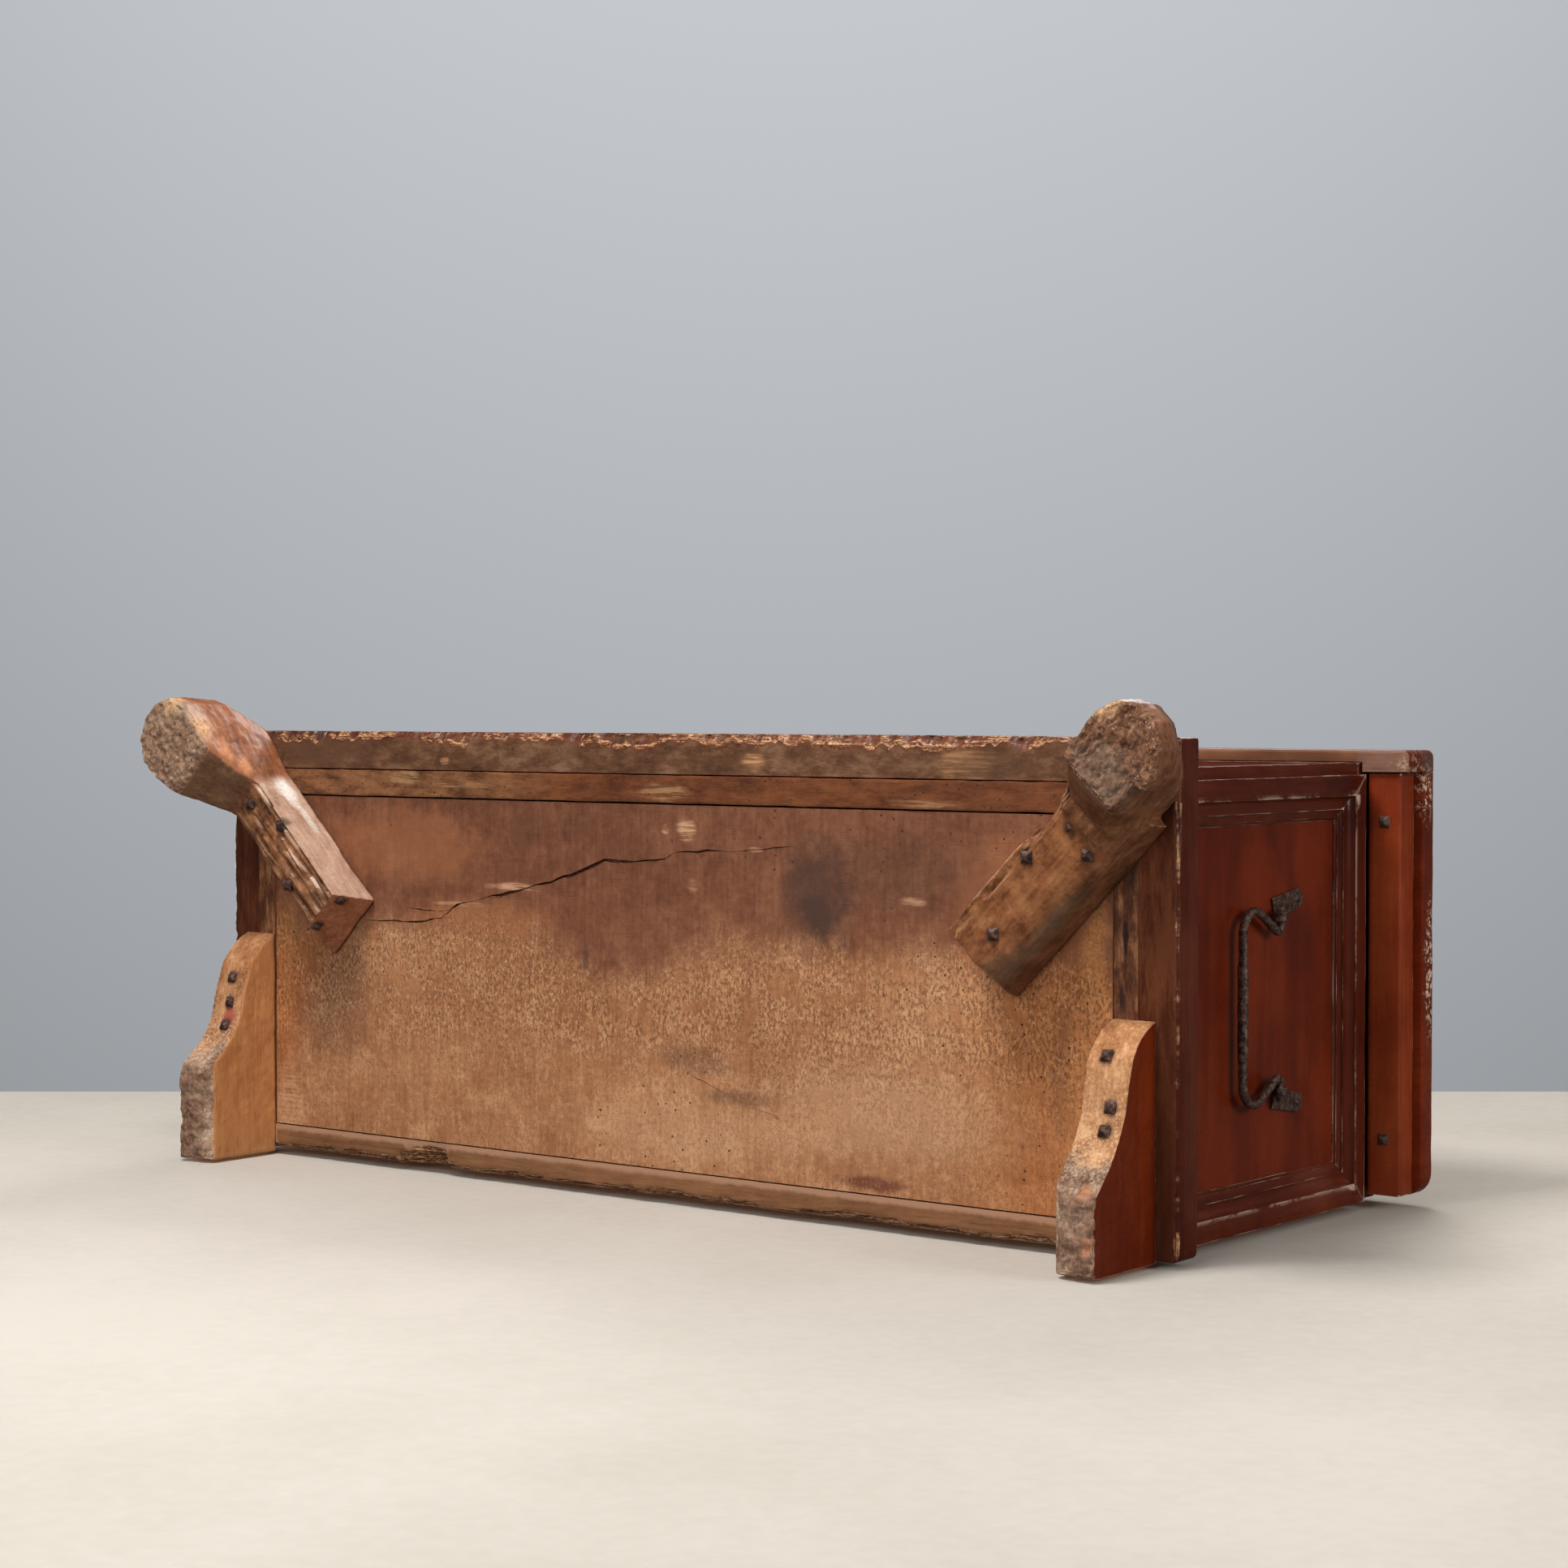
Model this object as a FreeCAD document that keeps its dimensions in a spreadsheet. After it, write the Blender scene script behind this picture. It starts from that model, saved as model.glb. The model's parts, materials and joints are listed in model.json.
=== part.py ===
import FreeCAD, Part
import math
import os
import Sketcher

V = FreeCAD.Vector
os.makedirs("parts", exist_ok=True)
doc = FreeCAD.newDocument("StorageChest")

# Sizes in millimetres.
# Depths are measured forward from the face of the back board, heights up from the lower edge of the boards.
SIZES = {
    "foot_height": 108, "back_plane": 261.773,
    "board_half": 606, "side_inner": 578.7, "body_height": 472,
    "front_outer": 445.5, "front_inner": 415.5, "back_inner": 27.8,
    "bottom_under": 1, "bottom_thickness": 26,
    "moulding_front": 489, "moulding_half": 650, "moulding_height": 37, "moulding_rear": -2,
    "facing": 13, "facing_bottom": 37, "facing_top": 431, "stile_half": 32,
    "frame_width": 47, "frame_rise": 13.5, "frame_bottom": 40, "frame_top": 424,
    "frame_front": 447, "frame_rear": 1,
    "lid_half": 661, "lid_under": 472.3, "lid_thickness": 28, "lid_rear": 4,
    "strip_rear": 449, "strip_front": 472, "strip_lower": 437, "strip_rebate": 459.5,
    "batten_inner": 612, "batten_outer": 650, "batten_under": 442, "batten_front": 448.2, "batten_rear": 6,
    "rear_foot_inner": 576.5, "rear_foot_outer": 626, "rear_foot_back": 5,
    "front_foot_x": 442, "front_foot_y": 264,
    "handle_middle": 220.5, "handle_height": 248, "handle_x": 618, "rod": 9,
    "strap_thickness": 3, "eye_wall": 3, "eye_clearance": 0.08, "eye_width": 10, "eye_from_middle": 87.5,
    "hinge_x": 430, "hinge_width": 52, "hinge_axis_y": 1.5, "hinge_axis_z": 472,
    "knuckle": 4.5, "pin": 2.4, "pin_clearance": 0.05, "leaf": 2.5,
}
dims = doc.addObject("Spreadsheet::Sheet", "dims")
for row, (name, size) in enumerate(SIZES.items(), 1):
    dims.set(f"A{row}", name)
    dims.set(f"B{row}", str(size))
    dims.setAlias(f"B{row}", name)
doc.recompute()


def number(value):
    """The size behind a name such as "board_half" or "-board_half", or the number itself."""
    if not isinstance(value, str):
        return float(value)
    size = SIZES[value.lstrip("-")]
    return -size if value.startswith("-") else size


def formula(value):
    """The same size written for a property that follows the sheet."""
    if not isinstance(value, str):
        return str(value)
    sign = "-" if value.startswith("-") else ""
    return f"{sign}dims.{value.lstrip('-')}"


def place(item, base=(0, 0, 0), rotation=None):
    """Sets a piece on the datum at the lower back edge, then at its own base from there."""
    item.Placement = FreeCAD.Placement(V(0, 0, 0), rotation or FreeCAD.Rotation())
    item.setExpression(".Placement.Base.x", formula(base[0]))
    item.setExpression(".Placement.Base.y", f"dims.back_plane + {formula(base[1])}")
    item.setExpression(".Placement.Base.z", f"dims.foot_height + {formula(base[2])}")


def new_body(label, base=(0, 0, 0), rotation=None):
    body = doc.addObject("PartDesign::Body", label)
    body.Label = label
    place(body, base, rotation)
    return body


def new_sketch(body, name, plane, offset=0):
    sketch = body.newObject("Sketcher::SketchObject", name)
    support = [item for item in body.Origin.OriginFeatures if item.Role == plane + "_Plane"]
    sketch.AttachmentSupport = [(support[0], "")]
    sketch.MapMode = "FlatFace"
    sketch.AttachmentOffset = FreeCAD.Placement(V(0, 0, number(offset)), FreeCAD.Rotation())
    if isinstance(offset, str):
        sketch.setExpression(".AttachmentOffset.Base.z", formula(offset))
    return sketch


def pin_point(sketch, edge, end, point):
    """Holds one end of an edge at its two distances from the sketch origin."""
    for kind, value in zip(("DistanceX", "DistanceY"), point):
        index = sketch.addConstraint(Sketcher.Constraint(kind, -1, 1, edge, end, number(value)))
        if isinstance(value, str):
            sketch.setExpression(f"Constraints[{index}]", formula(value))


def outline(body, name, plane, points, offset=0):
    """Closed outline of straight edges; a point's third and fourth numbers start an arc through them."""
    sketch = new_sketch(body, name, plane, offset)
    ends = [V(number(p[0]), number(p[1]), 0) for p in points]
    for index, point in enumerate(points):
        start, stop = ends[index], ends[(index + 1) % len(ends)]
        if len(point) == 4:
            through = V(number(point[2]), number(point[3]), 0)
            sketch.addGeometry(Part.Arc(start, through, stop), False)
        else:
            sketch.addGeometry(Part.LineSegment(start, stop), False)
    if not any(len(point) == 4 for point in points):
        for index, point in enumerate(points):
            sketch.addConstraint(Sketcher.Constraint("Coincident", index, 2, (index + 1) % len(points), 1))
            pin_point(sketch, index, 1, point)
    return sketch


def pad(body, sketch, length, midplane=False, name="Pad"):
    feature = body.newObject("PartDesign::Pad", name)
    feature.Profile = sketch
    feature.Length = number(length)
    if isinstance(length, str):
        feature.setExpression(".Length", formula(length))
    feature.Midplane = midplane
    body.Tip = feature
    return feature


def cut(body, sketch, name="Cut", length=None, reverse=False):
    """Cuts right through both ways, or only to a depth."""
    feature = body.newObject("PartDesign::Pocket", name)
    feature.Profile = sketch
    if length is None:
        feature.Type = "ThroughAll"
        feature.Midplane = True
    else:
        feature.Length = length
        feature.Reversed = reverse
    body.Tip = feature
    return feature


def round_off(body, kind, size, test, name):
    """Rounds or chamfers the edges whose middle passes the test."""
    doc.recompute()
    last = body.Tip
    edges = [f"Edge{i}" for i, edge in enumerate(last.Shape.Edges, 1) if test(edge.CenterOfMass)]
    feature = body.newObject("PartDesign::" + kind, name)
    feature.Base = (last, edges)
    if kind == "Fillet":
        feature.Radius = size
    else:
        feature.Size = size
    body.Tip = feature
    return feature


def slab(label, left, right, front, rear, low, height):
    """Board with its plan between left and right, front and rear, standing on its lower face."""
    body = new_body(label)
    plan = [(left, front), (right, front), (right, rear), (left, rear)]
    pad(body, outline(body, label + "_plan", "XY", plan, low), height)
    return body


def mirrored(label, source):
    """The left-hand twin of a right-hand piece."""
    twin = doc.addObject("Part::Mirroring", label)
    twin.Label = label
    twin.Source = source
    twin.Base = V(0, 0, 0)
    twin.Normal = V(1, 0, 0)
    return twin


pieces = []

# Box of boards: the front runs past the ends, the back and the bottom sit between them.
front_board = slab("front_board", "-board_half", "board_half", "-front_outer", "-front_inner", 0,
                   "body_height")
side_board = slab("right_side_board", "side_inner", "board_half", "-front_inner", 0, 0, "body_height")
back_board = slab("back_board", "-side_inner", "side_inner", "-back_inner", 0, 0, "body_height")
joint_gap = 1.5
bottom_half = SIZES["side_inner"] - joint_gap
bottom_front = SIZES["front_inner"] - joint_gap
bottom_rear = SIZES["back_inner"] + joint_gap
bottom_board = slab("bottom_board", -bottom_half, bottom_half, -bottom_front, -bottom_rear,
                    "bottom_under", "bottom_thickness")

# Notches in the top of the back board that let the hinge knuckles in.
notch_depth = 4
notch_floor = 466
notch_top = 480
notch_half = SIZES["hinge_width"] / 2 + joint_gap
for number_of_hinge, hinge in enumerate((-SIZES["hinge_x"], SIZES["hinge_x"]), 1):
    corners = [(hinge - notch_half, notch_floor), (hinge + notch_half, notch_floor),
               (hinge + notch_half, notch_top), (hinge - notch_half, notch_top)]
    face = outline(back_board, f"notch_{number_of_hinge}", "XZ", corners)
    cut(back_board, face, f"Notch_{number_of_hinge}", notch_depth, True)

pieces += [front_board, side_board, mirrored("left_side_board", side_board), back_board, bottom_board]

# Base moulding round the front and both ends, mitred at the front corners.
board_end = SIZES["board_half"]
board_front = SIZES["front_outer"]
moulding_end = SIZES["moulding_half"]
moulding_face = SIZES["moulding_front"]
beyond = 700
front_moulding = new_body("base_moulding_front")
section = [("-front_outer", 0), (-484, 0, -487.5, 1.5), ("-moulding_front", 5),
           ("-moulding_front", 35, -488.4, 36.4), (-487, "moulding_height"),
           ("-front_outer", "moulding_height")]
pad(front_moulding, outline(front_moulding, "moulding_section", "YZ", section), 2 * moulding_end, True)
for side in (-1, 1):
    corner = [(side * board_end, -board_front), (side * moulding_end, -moulding_face),
              (side * beyond, -moulding_face), (side * beyond, -board_front)]
    cut(front_moulding, outline(front_moulding, f"mitre_{side + 2}", "XY", corner), f"Mitre_{side + 2}")

# The same moulding along each end, mitred at the front and rounded at its rear end.
side_moulding = new_body("base_moulding_right")
section = [("board_half", 0), (645, 0, 648.5, 1.5), ("moulding_half", 5),
           ("moulding_half", 35, 649.4, 36.4), (648, "moulding_height"), ("board_half", "moulding_height")]
pad(side_moulding, outline(side_moulding, "moulding_section", "XZ", section, "moulding_rear"),
    moulding_face - SIZES["moulding_rear"])
corner = [(board_end, -board_front), (board_end, -beyond), (beyond, -beyond), (beyond, -moulding_face),
          (moulding_end, -moulding_face)]
cut(side_moulding, outline(side_moulding, "mitre", "XY", corner), "Mitre")
rounding = 9
rear_end = -SIZES["moulding_rear"]
inset = rounding * (1 - math.sqrt(0.5))
corner = [(moulding_end, rear_end - rounding, moulding_end - inset, rear_end - inset),
          (moulding_end - rounding, rear_end), (moulding_end - rounding, beyond), (beyond, beyond),
          (beyond, rear_end - rounding)]
cut(side_moulding, outline(side_moulding, "rear_corner", "XY", corner), "Rear_corner")

pieces += [front_moulding, side_moulding, mirrored("base_moulding_left", side_moulding)]

# Moulded frames: a flat outer fillet at full height, then a hollow and two steps falling to the field.
X_AXIS = V(1, 0, 0)
Y_AXIS = V(0, 1, 0)
Z_AXIS = V(0, 0, 1)


def frame_member(label, length, base, inward, outward):
    """One mitred length of the frame moulding, its outer edge running along its own first axis."""
    rotation = FreeCAD.Rotation(inward.cross(outward), inward, outward, "ZXY")
    body = new_body(label, base, rotation)
    width = SIZES["frame_width"]
    plan = [(0, 0), (length, 0), (length - width, "frame_width"), ("frame_width", "frame_width")]
    pad(body, outline(body, label + "_plan", "XY", plan), "frame_rise")
    waste = [(22, 20), (22, 11.8, 26.2, 7.4), (34, 6.4), (36, 6.4), (36, 4.6), (43, 3.4),
             (44, 3.4), (44, 1.9), (48, 0.9), (48, 20)]
    cut(body, outline(body, label + "_section", "YZ", waste), "Moulding")
    return body


# End frame on the right-hand side board: top, rear, bottom and front members.
tall = SIZES["frame_top"] - SIZES["frame_bottom"]
deep = SIZES["frame_front"] - SIZES["frame_rear"]
end_members = [
    frame_member("right_frame_top", deep, ("board_half", "-frame_rear", "frame_top"), -Z_AXIS, X_AXIS),
    frame_member("right_frame_rear", tall, ("board_half", "-frame_rear", "frame_bottom"), -Y_AXIS, X_AXIS),
    frame_member("right_frame_bottom", deep, ("board_half", "-frame_front", "frame_bottom"), Z_AXIS, X_AXIS),
    frame_member("right_frame_front", tall, ("board_half", "-frame_front", "frame_top"), Y_AXIS, X_AXIS),
]
for member in end_members:
    pieces += [member, mirrored(member.Label.replace("right", "left"), member)]

# Front: a middle stile and a top rail with a framed panel on each side.
panel_top = SIZES["facing_top"]
panel_wide = SIZES["board_half"] - SIZES["stile_half"]
panel_tall = panel_top - SIZES["facing_bottom"]
panel_members = [
    frame_member("front_right_frame_top", panel_wide, ("board_half", "-front_outer", "facing_top"),
                 -Z_AXIS, -Y_AXIS),
    frame_member("front_right_frame_outer", panel_tall, ("board_half", "-front_outer", "facing_bottom"),
                 -X_AXIS, -Y_AXIS),
    frame_member("front_right_frame_bottom", panel_wide, ("stile_half", "-front_outer", "facing_bottom"),
                 Z_AXIS, -Y_AXIS),
    frame_member("front_right_frame_inner", panel_tall, ("stile_half", "-front_outer", "facing_top"),
                 X_AXIS, -Y_AXIS),
]
for member in panel_members:
    pieces += [member, mirrored(member.Label.replace("front_right", "front_left"), member)]

facing_front = SIZES["front_outer"] + SIZES["frame_rise"]
stile = slab("front_middle_stile", "-stile_half", "stile_half", -facing_front, "-front_outer",
             "facing_bottom", panel_tall)
rail = slab("front_top_rail", "-board_half", "board_half", -facing_front, "-front_outer",
            "facing_top", SIZES["body_height"] - panel_top)
pieces += [stile, rail]

# Lid board with its end edges rounded over on top and its rear corners rounded in plan.
lid_board = slab("lid_board", "-lid_half", "lid_half", "-strip_rear", "-lid_rear", "lid_under",
                 "lid_thickness")
lid_top = SIZES["lid_under"] + SIZES["lid_thickness"]
lid_half = SIZES["lid_half"]
corner_radius = 22
upper_radius = 9
lower_chamfer = 2.5
round_off(lid_board, "Fillet", corner_radius, lambda m: abs(m.x) > lid_half - 1 and m.y > -5, "Rear_corners")
round_off(lid_board, "Fillet", upper_radius,
          lambda m: m.z > lid_top - 1 and (abs(m.x) > lid_half - 9 or m.y > -5), "Upper_arris")
round_off(lid_board, "Chamfer", lower_chamfer,
          lambda m: m.z < lid_top - 27 and (abs(m.x) > lid_half - 9 or m.y > -5), "Lower_arris")

# Front strip of the lid, rebated so that its lip hangs over the front.
strip = slab("lid_front_strip", "-lid_half", "lid_half", "-strip_front", "-strip_rear",
             "strip_lower", lid_top - SIZES["strip_lower"])
rebate_half = 607.5
rebate_rear = -440
rebate_depth = 40
lip = [(-rebate_half, "-strip_rebate"), (rebate_half, "-strip_rebate"), (rebate_half, rebate_rear),
       (-rebate_half, rebate_rear)]
cut(strip, outline(strip, "rebate", "XY", lip, "lid_under"), "Rebate", rebate_depth)
round_off(strip, "Fillet", 7, lambda m: abs(m.x) > lid_half - 1 and m.y < -471, "Front_corners")
round_off(strip, "Fillet", upper_radius,
          lambda m: m.z > lid_top - 1 and (abs(m.x) > lid_half - 8 or m.y < -470), "Upper_arris")
round_off(strip, "Chamfer", lower_chamfer,
          lambda m: m.z < 438 and (abs(m.x) > lid_half - 8 or m.y < -470), "Lower_arris")

# Battens under the ends of the lid, just outside the side boards.
batten = slab("lid_batten_right", "batten_inner", "batten_outer", "-batten_front", "-batten_rear",
              "batten_under", SIZES["lid_under"] - SIZES["batten_under"])
round_off(batten, "Fillet", 2.5, lambda m: m.z < SIZES["batten_under"] + 1, "Worn_arris")
pieces += [lid_board, strip, batten, mirrored("lid_batten_left", batten)]

# Front feet, the pieces that take the most skill: a bar set at forty-five degrees under the corner, running
# out into a round toe with a full shoulder on its front side, whose sole slopes down to a round pad. The
# foot's own first axis runs out to the corner, the second towards the end of the chest. The two were hewn
# by hand: the right bar is nearly square, and the left one has lost its outer arris.
bar_length = 240
bar_depth = 56
sawn_slant = 17
sole_height = 64
toe_root = 197
toe_levels = [(-80, (293, -9), 51), (-45, (285, -17), 48), (0, (256, -13), 42)]
nose_angles = range(-105, 106, 30)


def toe_outline(middle, radius, neck):
    """Plan of the toe at one height: the neck at the bar, then a nose of flats hewn round a circle."""
    nose = [(middle[0] + radius * math.cos(math.radians(a)), middle[1] + radius * math.sin(math.radians(a)))
            for a in nose_angles]
    return [(toe_root, -44)] + nose + [(toe_root, neck)]


def front_foot(label, bar, neck):
    """One front foot as it stands at the right-hand corner; neck is how far the toe reaches at the bar."""
    foot = new_body(label, ("front_foot_x", "-front_foot_y", 0), FreeCAD.Rotation(Z_AXIS, -45))
    pad(foot, outline(foot, label + "_bar", "YZ", bar), bar_length, name="Bar")
    sawn = [(-5, 0), (0, 0), (sawn_slant, -bar_depth), (sawn_slant, -70), (-5, -70)]
    cut(foot, outline(foot, label + "_sawn_end", "XZ", sawn), "Sawn_end")
    knee, low_middle, low_radius = toe_levels[0]
    low = toe_outline(low_middle, low_radius, neck)
    low_plan = outline(foot, label + "_toe", "XY", low, "-foot_height")
    pad(foot, low_plan, SIZES["foot_height"] + knee, name="Toe")
    shoulder = foot.newObject("PartDesign::AdditiveLoft", "Shoulder")
    rings = [outline(foot, f"{label}_ring_{count}", "XY", toe_outline(middle, radius, neck), height)
             for count, (height, middle, radius) in enumerate(toe_levels, 1)]
    shoulder.Profile = rings[0]
    shoulder.Sections = rings[1:]
    shoulder.Ruled = True
    foot.Tip = shoulder
    sole = [(150, -sole_height), (toe_root, -sole_height), (246, -108), (246, -115), (150, -115)]
    cut(foot, outline(foot, label + "_sole", "XZ", sole), "Sole")
    round_off(foot, "Chamfer", 4, lambda middle: middle.z < -107.5, "Worn_pad")
    return foot


square_bar = [(-44, 0), (40, 0), (36, -bar_depth), (-40, -bar_depth)]
worn_bar = [(-46, 0), (47, 0), (45, -9), (10, -bar_depth), (-42, -bar_depth)]
pieces += [front_foot("front_foot_right", square_bar, 30),
           mirrored("front_foot_left", front_foot("worn_foot", worn_bar, 14))]

# Rear feet: brackets under the ends of the side boards, each sawn by eye to its own S curve of three arcs
# and a slope, with the pad worn away on the inner side.
sawn_curves = {
    1: [(-224, 0, -213.5, -22), (-190, -41.5, -168, -48), (-146, -53, -118, -65.5), (-92, -84.5),
        (-66, -108)],
    -1: [(-252, 0, -240, -21), (-218, -39.5, -191, -49), (-164, -55, -140, -66), (-117, -87),
         (-99, -108)],
}
foot_thickness = SIZES["rear_foot_outer"] - SIZES["rear_foot_inner"]
for label, side, left_face in (("rear_foot_right", 1, "rear_foot_inner"),
                               ("rear_foot_left", -1, "-rear_foot_outer")):
    rear_foot = new_body(label, (left_face, 0, 0))
    rim = [("rear_foot_back", "-foot_height"), ("rear_foot_back", 0)]
    pad(rear_foot, outline(rear_foot, label + "_side", "YZ", sawn_curves[side] + rim), foot_thickness,
        name="Bracket")
    inner_face = foot_thickness * (1 - side) / 2
    round_off(rear_foot, "Chamfer", 11, lambda m: m.z < -107.5 and abs(m.x - inner_face) < 1, "Worn_inside")
    round_off(rear_foot, "Chamfer", 3, lambda m: m.z < -107.5 and abs(m.x - inner_face) > 12, "Worn_pad")
    pieces.append(rear_foot)

# Bail handle: one rod forged to eight flats and bent to a grip with swan-neck arms, whose round ends
# hook outward through the eyes.
grip_half = 73.5
bend_radius = 22
arm_angle = math.radians(120)
arm_length = 37
hook_radius = 6
hook_end = 97
drop = SIZES["handle_height"]
corner_end = V(grip_half + bend_radius * math.sin(arm_angle),
               bend_radius * (1 - math.cos(arm_angle)), 0)
arm_end = corner_end + V(math.cos(arm_angle), math.sin(arm_angle), 0) * arm_length
hook_middle = arm_end + V(math.sin(arm_angle), -math.cos(arm_angle), 0) * hook_radius
grip_low = -(hook_middle.y + hook_radius)
half_turn = arm_angle / 2
path_points = [
    ("line", V(0, 0, 0), V(grip_half, 0, 0)),
    ("arc", V(grip_half, 0, 0),
     V(grip_half + bend_radius * math.sin(half_turn), bend_radius * (1 - math.cos(half_turn)), 0),
     corner_end),
    ("line", corner_end, arm_end),
    ("arc", arm_end,
     hook_middle + V(-math.sin(half_turn), math.cos(half_turn), 0) * hook_radius,
     hook_middle + V(0, hook_radius, 0)),
]
bail = new_body("bail_right", ("handle_x", "-handle_middle", "handle_height"))
path = new_sketch(bail, "path", "YZ")
for kind, *points in path_points:
    points = [V(p.x, p.y + grip_low, 0) for p in points]
    if kind == "line":
        path.addGeometry(Part.LineSegment(*points), False)
    else:
        path.addGeometry(Part.Arc(*points), False)
flats = 8
corner_out = SIZES["rod"] / 2 / math.cos(math.pi / flats)
turns = [math.pi * (2 * i + 1) / flats for i in range(flats)]
rod = outline(bail, "rod", "XZ",
              [(corner_out * math.cos(a), grip_low + corner_out * math.sin(a)) for a in turns])
doc.recompute()
sweep = bail.newObject("PartDesign::AdditivePipe", "Half_bail")
sweep.Profile = rod
sweep.Spine = (path, [f"Edge{i + 1}" for i in range(len(path_points))])
bail.Tip = sweep
pin_end = new_sketch(bail, "pin_end", "XZ", -hook_end)
pin_end.addGeometry(Part.Circle(V(0, 0, 0), Z_AXIS, SIZES["rod"] / 2), False)
round_end = pad(bail, pin_end, hook_end - hook_middle.x + 1, name="Round_end")
both = bail.newObject("PartDesign::Mirrored", "Both_halves")
both.Originals = [sweep, round_end]
both.MirrorPlane = ([item for item in bail.Origin.OriginFeatures if item.Role == "XZ_Plane"][0], [""])
bail.Tip = both
pieces += [bail, mirrored("bail_left", bail)]

# Straps of the handle: a rolled eye on a cranked neck with a fan-shaped leaf on the side board.
bore = SIZES["rod"] / 2 + SIZES["eye_clearance"]
eye_outer = bore + SIZES["eye_wall"]
stand_off = SIZES["handle_x"] - SIZES["board_half"]
fan = [(-5, 14), (5, 4), (18, 0), (26, 52), (22, 60), (12, 62), (7, 57), (0, 20)]


def strap(label, along):
    """One strap, its eye centred on the bail's axis; along is +1 for the rear one and -1 for the front."""
    y_middle = -SIZES["handle_middle"] + along * SIZES["eye_from_middle"]
    body = new_body(label, ("handle_x", y_middle, "handle_height"))
    eye = new_sketch(body, label + "_eye", "XZ")
    eye.addGeometry(Part.Circle(V(0, 0, 0), Z_AXIS, eye_outer), False)
    eye.addGeometry(Part.Circle(V(0, 0, 0), Z_AXIS, bore), False)
    pad(body, eye, "eye_width", True, "Eye")
    neck = [(-stand_off, 24), (-stand_off + 3, 24), (-stand_off + 3, 19), (0.8, 7.3), (-0.6, 4.8),
            (-stand_off, 14)]
    pad(body, outline(body, label + "_neck", "XZ", neck), "eye_width", True, "Neck")
    leaf = [(along * y, z) for y, z in fan]
    pad(body, outline(body, label + "_leaf", "YZ", leaf, -stand_off), "strap_thickness", name="Leaf")
    return body


for label, along in (("strap_right_front", -1), ("strap_right_rear", 1)):
    one = strap(label, along)
    pieces += [one, mirrored(label.replace("right", "left"), one)]

# Hinges: two leaves rolled round one pin, the heel of the lid's leaf stopping it just past upright.
axis_y = SIZES["hinge_axis_y"]
axis_z = SIZES["hinge_axis_z"]
knuckle_bore = SIZES["pin"] + SIZES["pin_clearance"]
half_width = SIZES["hinge_width"] / 2
middle_half = 9.5
end_knuckle = half_width - middle_half - 0.5


def knuckle(body, name, start, length):
    """A rolled knuckle round the pin's axis."""
    ring = new_sketch(body, name, "YZ", start)
    for radius in (SIZES["knuckle"], knuckle_bore):
        ring.addGeometry(Part.Circle(V(axis_y, axis_z, 0), Z_AXIS, radius), False)
    return pad(body, ring, length, name=name.title())


body_leaf = new_body("hinge_body_leaf_right", ("hinge_x", 0, 0))
flat = [(-half_width, 404), (half_width, 404), (half_width, 466), (-half_width, 466)]
pad(body_leaf, outline(body_leaf, "leaf_face", "XZ", flat, "-leaf"), "leaf", name="Leaf")
for count, start in enumerate((-half_width, half_width - end_knuckle), 1):
    knuckle(body_leaf, f"end_knuckle_{count}", start, end_knuckle)
    web = [(0, 464), ("leaf", 464), ("leaf", 468.6), (0, 468.6)]
    pad(body_leaf, outline(body_leaf, f"web_{count}", "YZ", web, start), end_knuckle, name=f"Web_{count}")

lid_leaf = new_body("hinge_lid_leaf_right", ("hinge_x", 0, 0))
lid_rear = -SIZES["lid_rear"]
flat = [(-half_width, 478), (half_width, 478), (half_width, 497), (-half_width, 497)]
pad(lid_leaf, outline(lid_leaf, "leaf_face", "XZ", flat, 1.5), "leaf", name="Leaf")
web = [(lid_rear, 473.2), (lid_rear + 2.5, 473.2), (lid_rear + 2.5, 479), (lid_rear, 479)]
pad(lid_leaf, outline(lid_leaf, "web", "YZ", web, -middle_half), 2 * middle_half, name="Web")
knuckle(lid_leaf, "middle_knuckle", -middle_half, 2 * middle_half)
heel = [(axis_y + 3.6, axis_z - 0.2), (axis_y + 5.75, axis_z + 1.75), (axis_y + 5.35, axis_z + 2.7),
        (axis_y + 3.0, axis_z + 2.4)]
pad(lid_leaf, outline(lid_leaf, "heel", "YZ", heel, -middle_half), 2 * middle_half, name="Heel")

pin = new_body("hinge_pin_right", ("hinge_x", 0, 0))
shank = new_sketch(pin, "shank", "YZ")
shank.addGeometry(Part.Circle(V(axis_y, axis_z, 0), Z_AXIS, SIZES["pin"]), False)
pad(pin, shank, 2 * half_width + 1, True, "Shank")
for one in (body_leaf, lid_leaf, pin):
    pieces += [one, mirrored(one.Label.replace("right", "left"), one)]


# Hand-forged nails, four-sided heads lying on the wood or iron.
def nails(label, places, size=11, rise=4):
    """A group of nail heads; each place is a point, the way the head faces and both sides if mirrored."""
    heads = []
    for count, (point, facing, both_sides) in enumerate(places, 1):
        for side in ((1, -1) if both_sides else (1,)):
            head = doc.addObject("Part::Wedge", f"{label}_{count}_{'r' if side > 0 else 'l'}")
            half = size / 2
            head.Xmin = head.Zmin = -half
            head.Xmax = head.Zmax = half
            head.X2min = head.Z2min = -half * 0.3
            head.X2max = head.Z2max = half * 0.3
            head.Ymin = 0
            head.Ymax = rise
            spot = V(side * point[0], point[1] + SIZES["back_plane"], point[2] + SIZES["foot_height"])
            way = V(side * facing[0], facing[1], facing[2])
            head.Placement = FreeCAD.Placement(spot, FreeCAD.Rotation(Y_AXIS, way))
            heads.append(head)
    group = doc.addObject("Part::Compound", label)
    group.Label = label
    group.Links = heads
    return group


down = (0, 0, -1)
curve_clearance = 0.6


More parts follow.
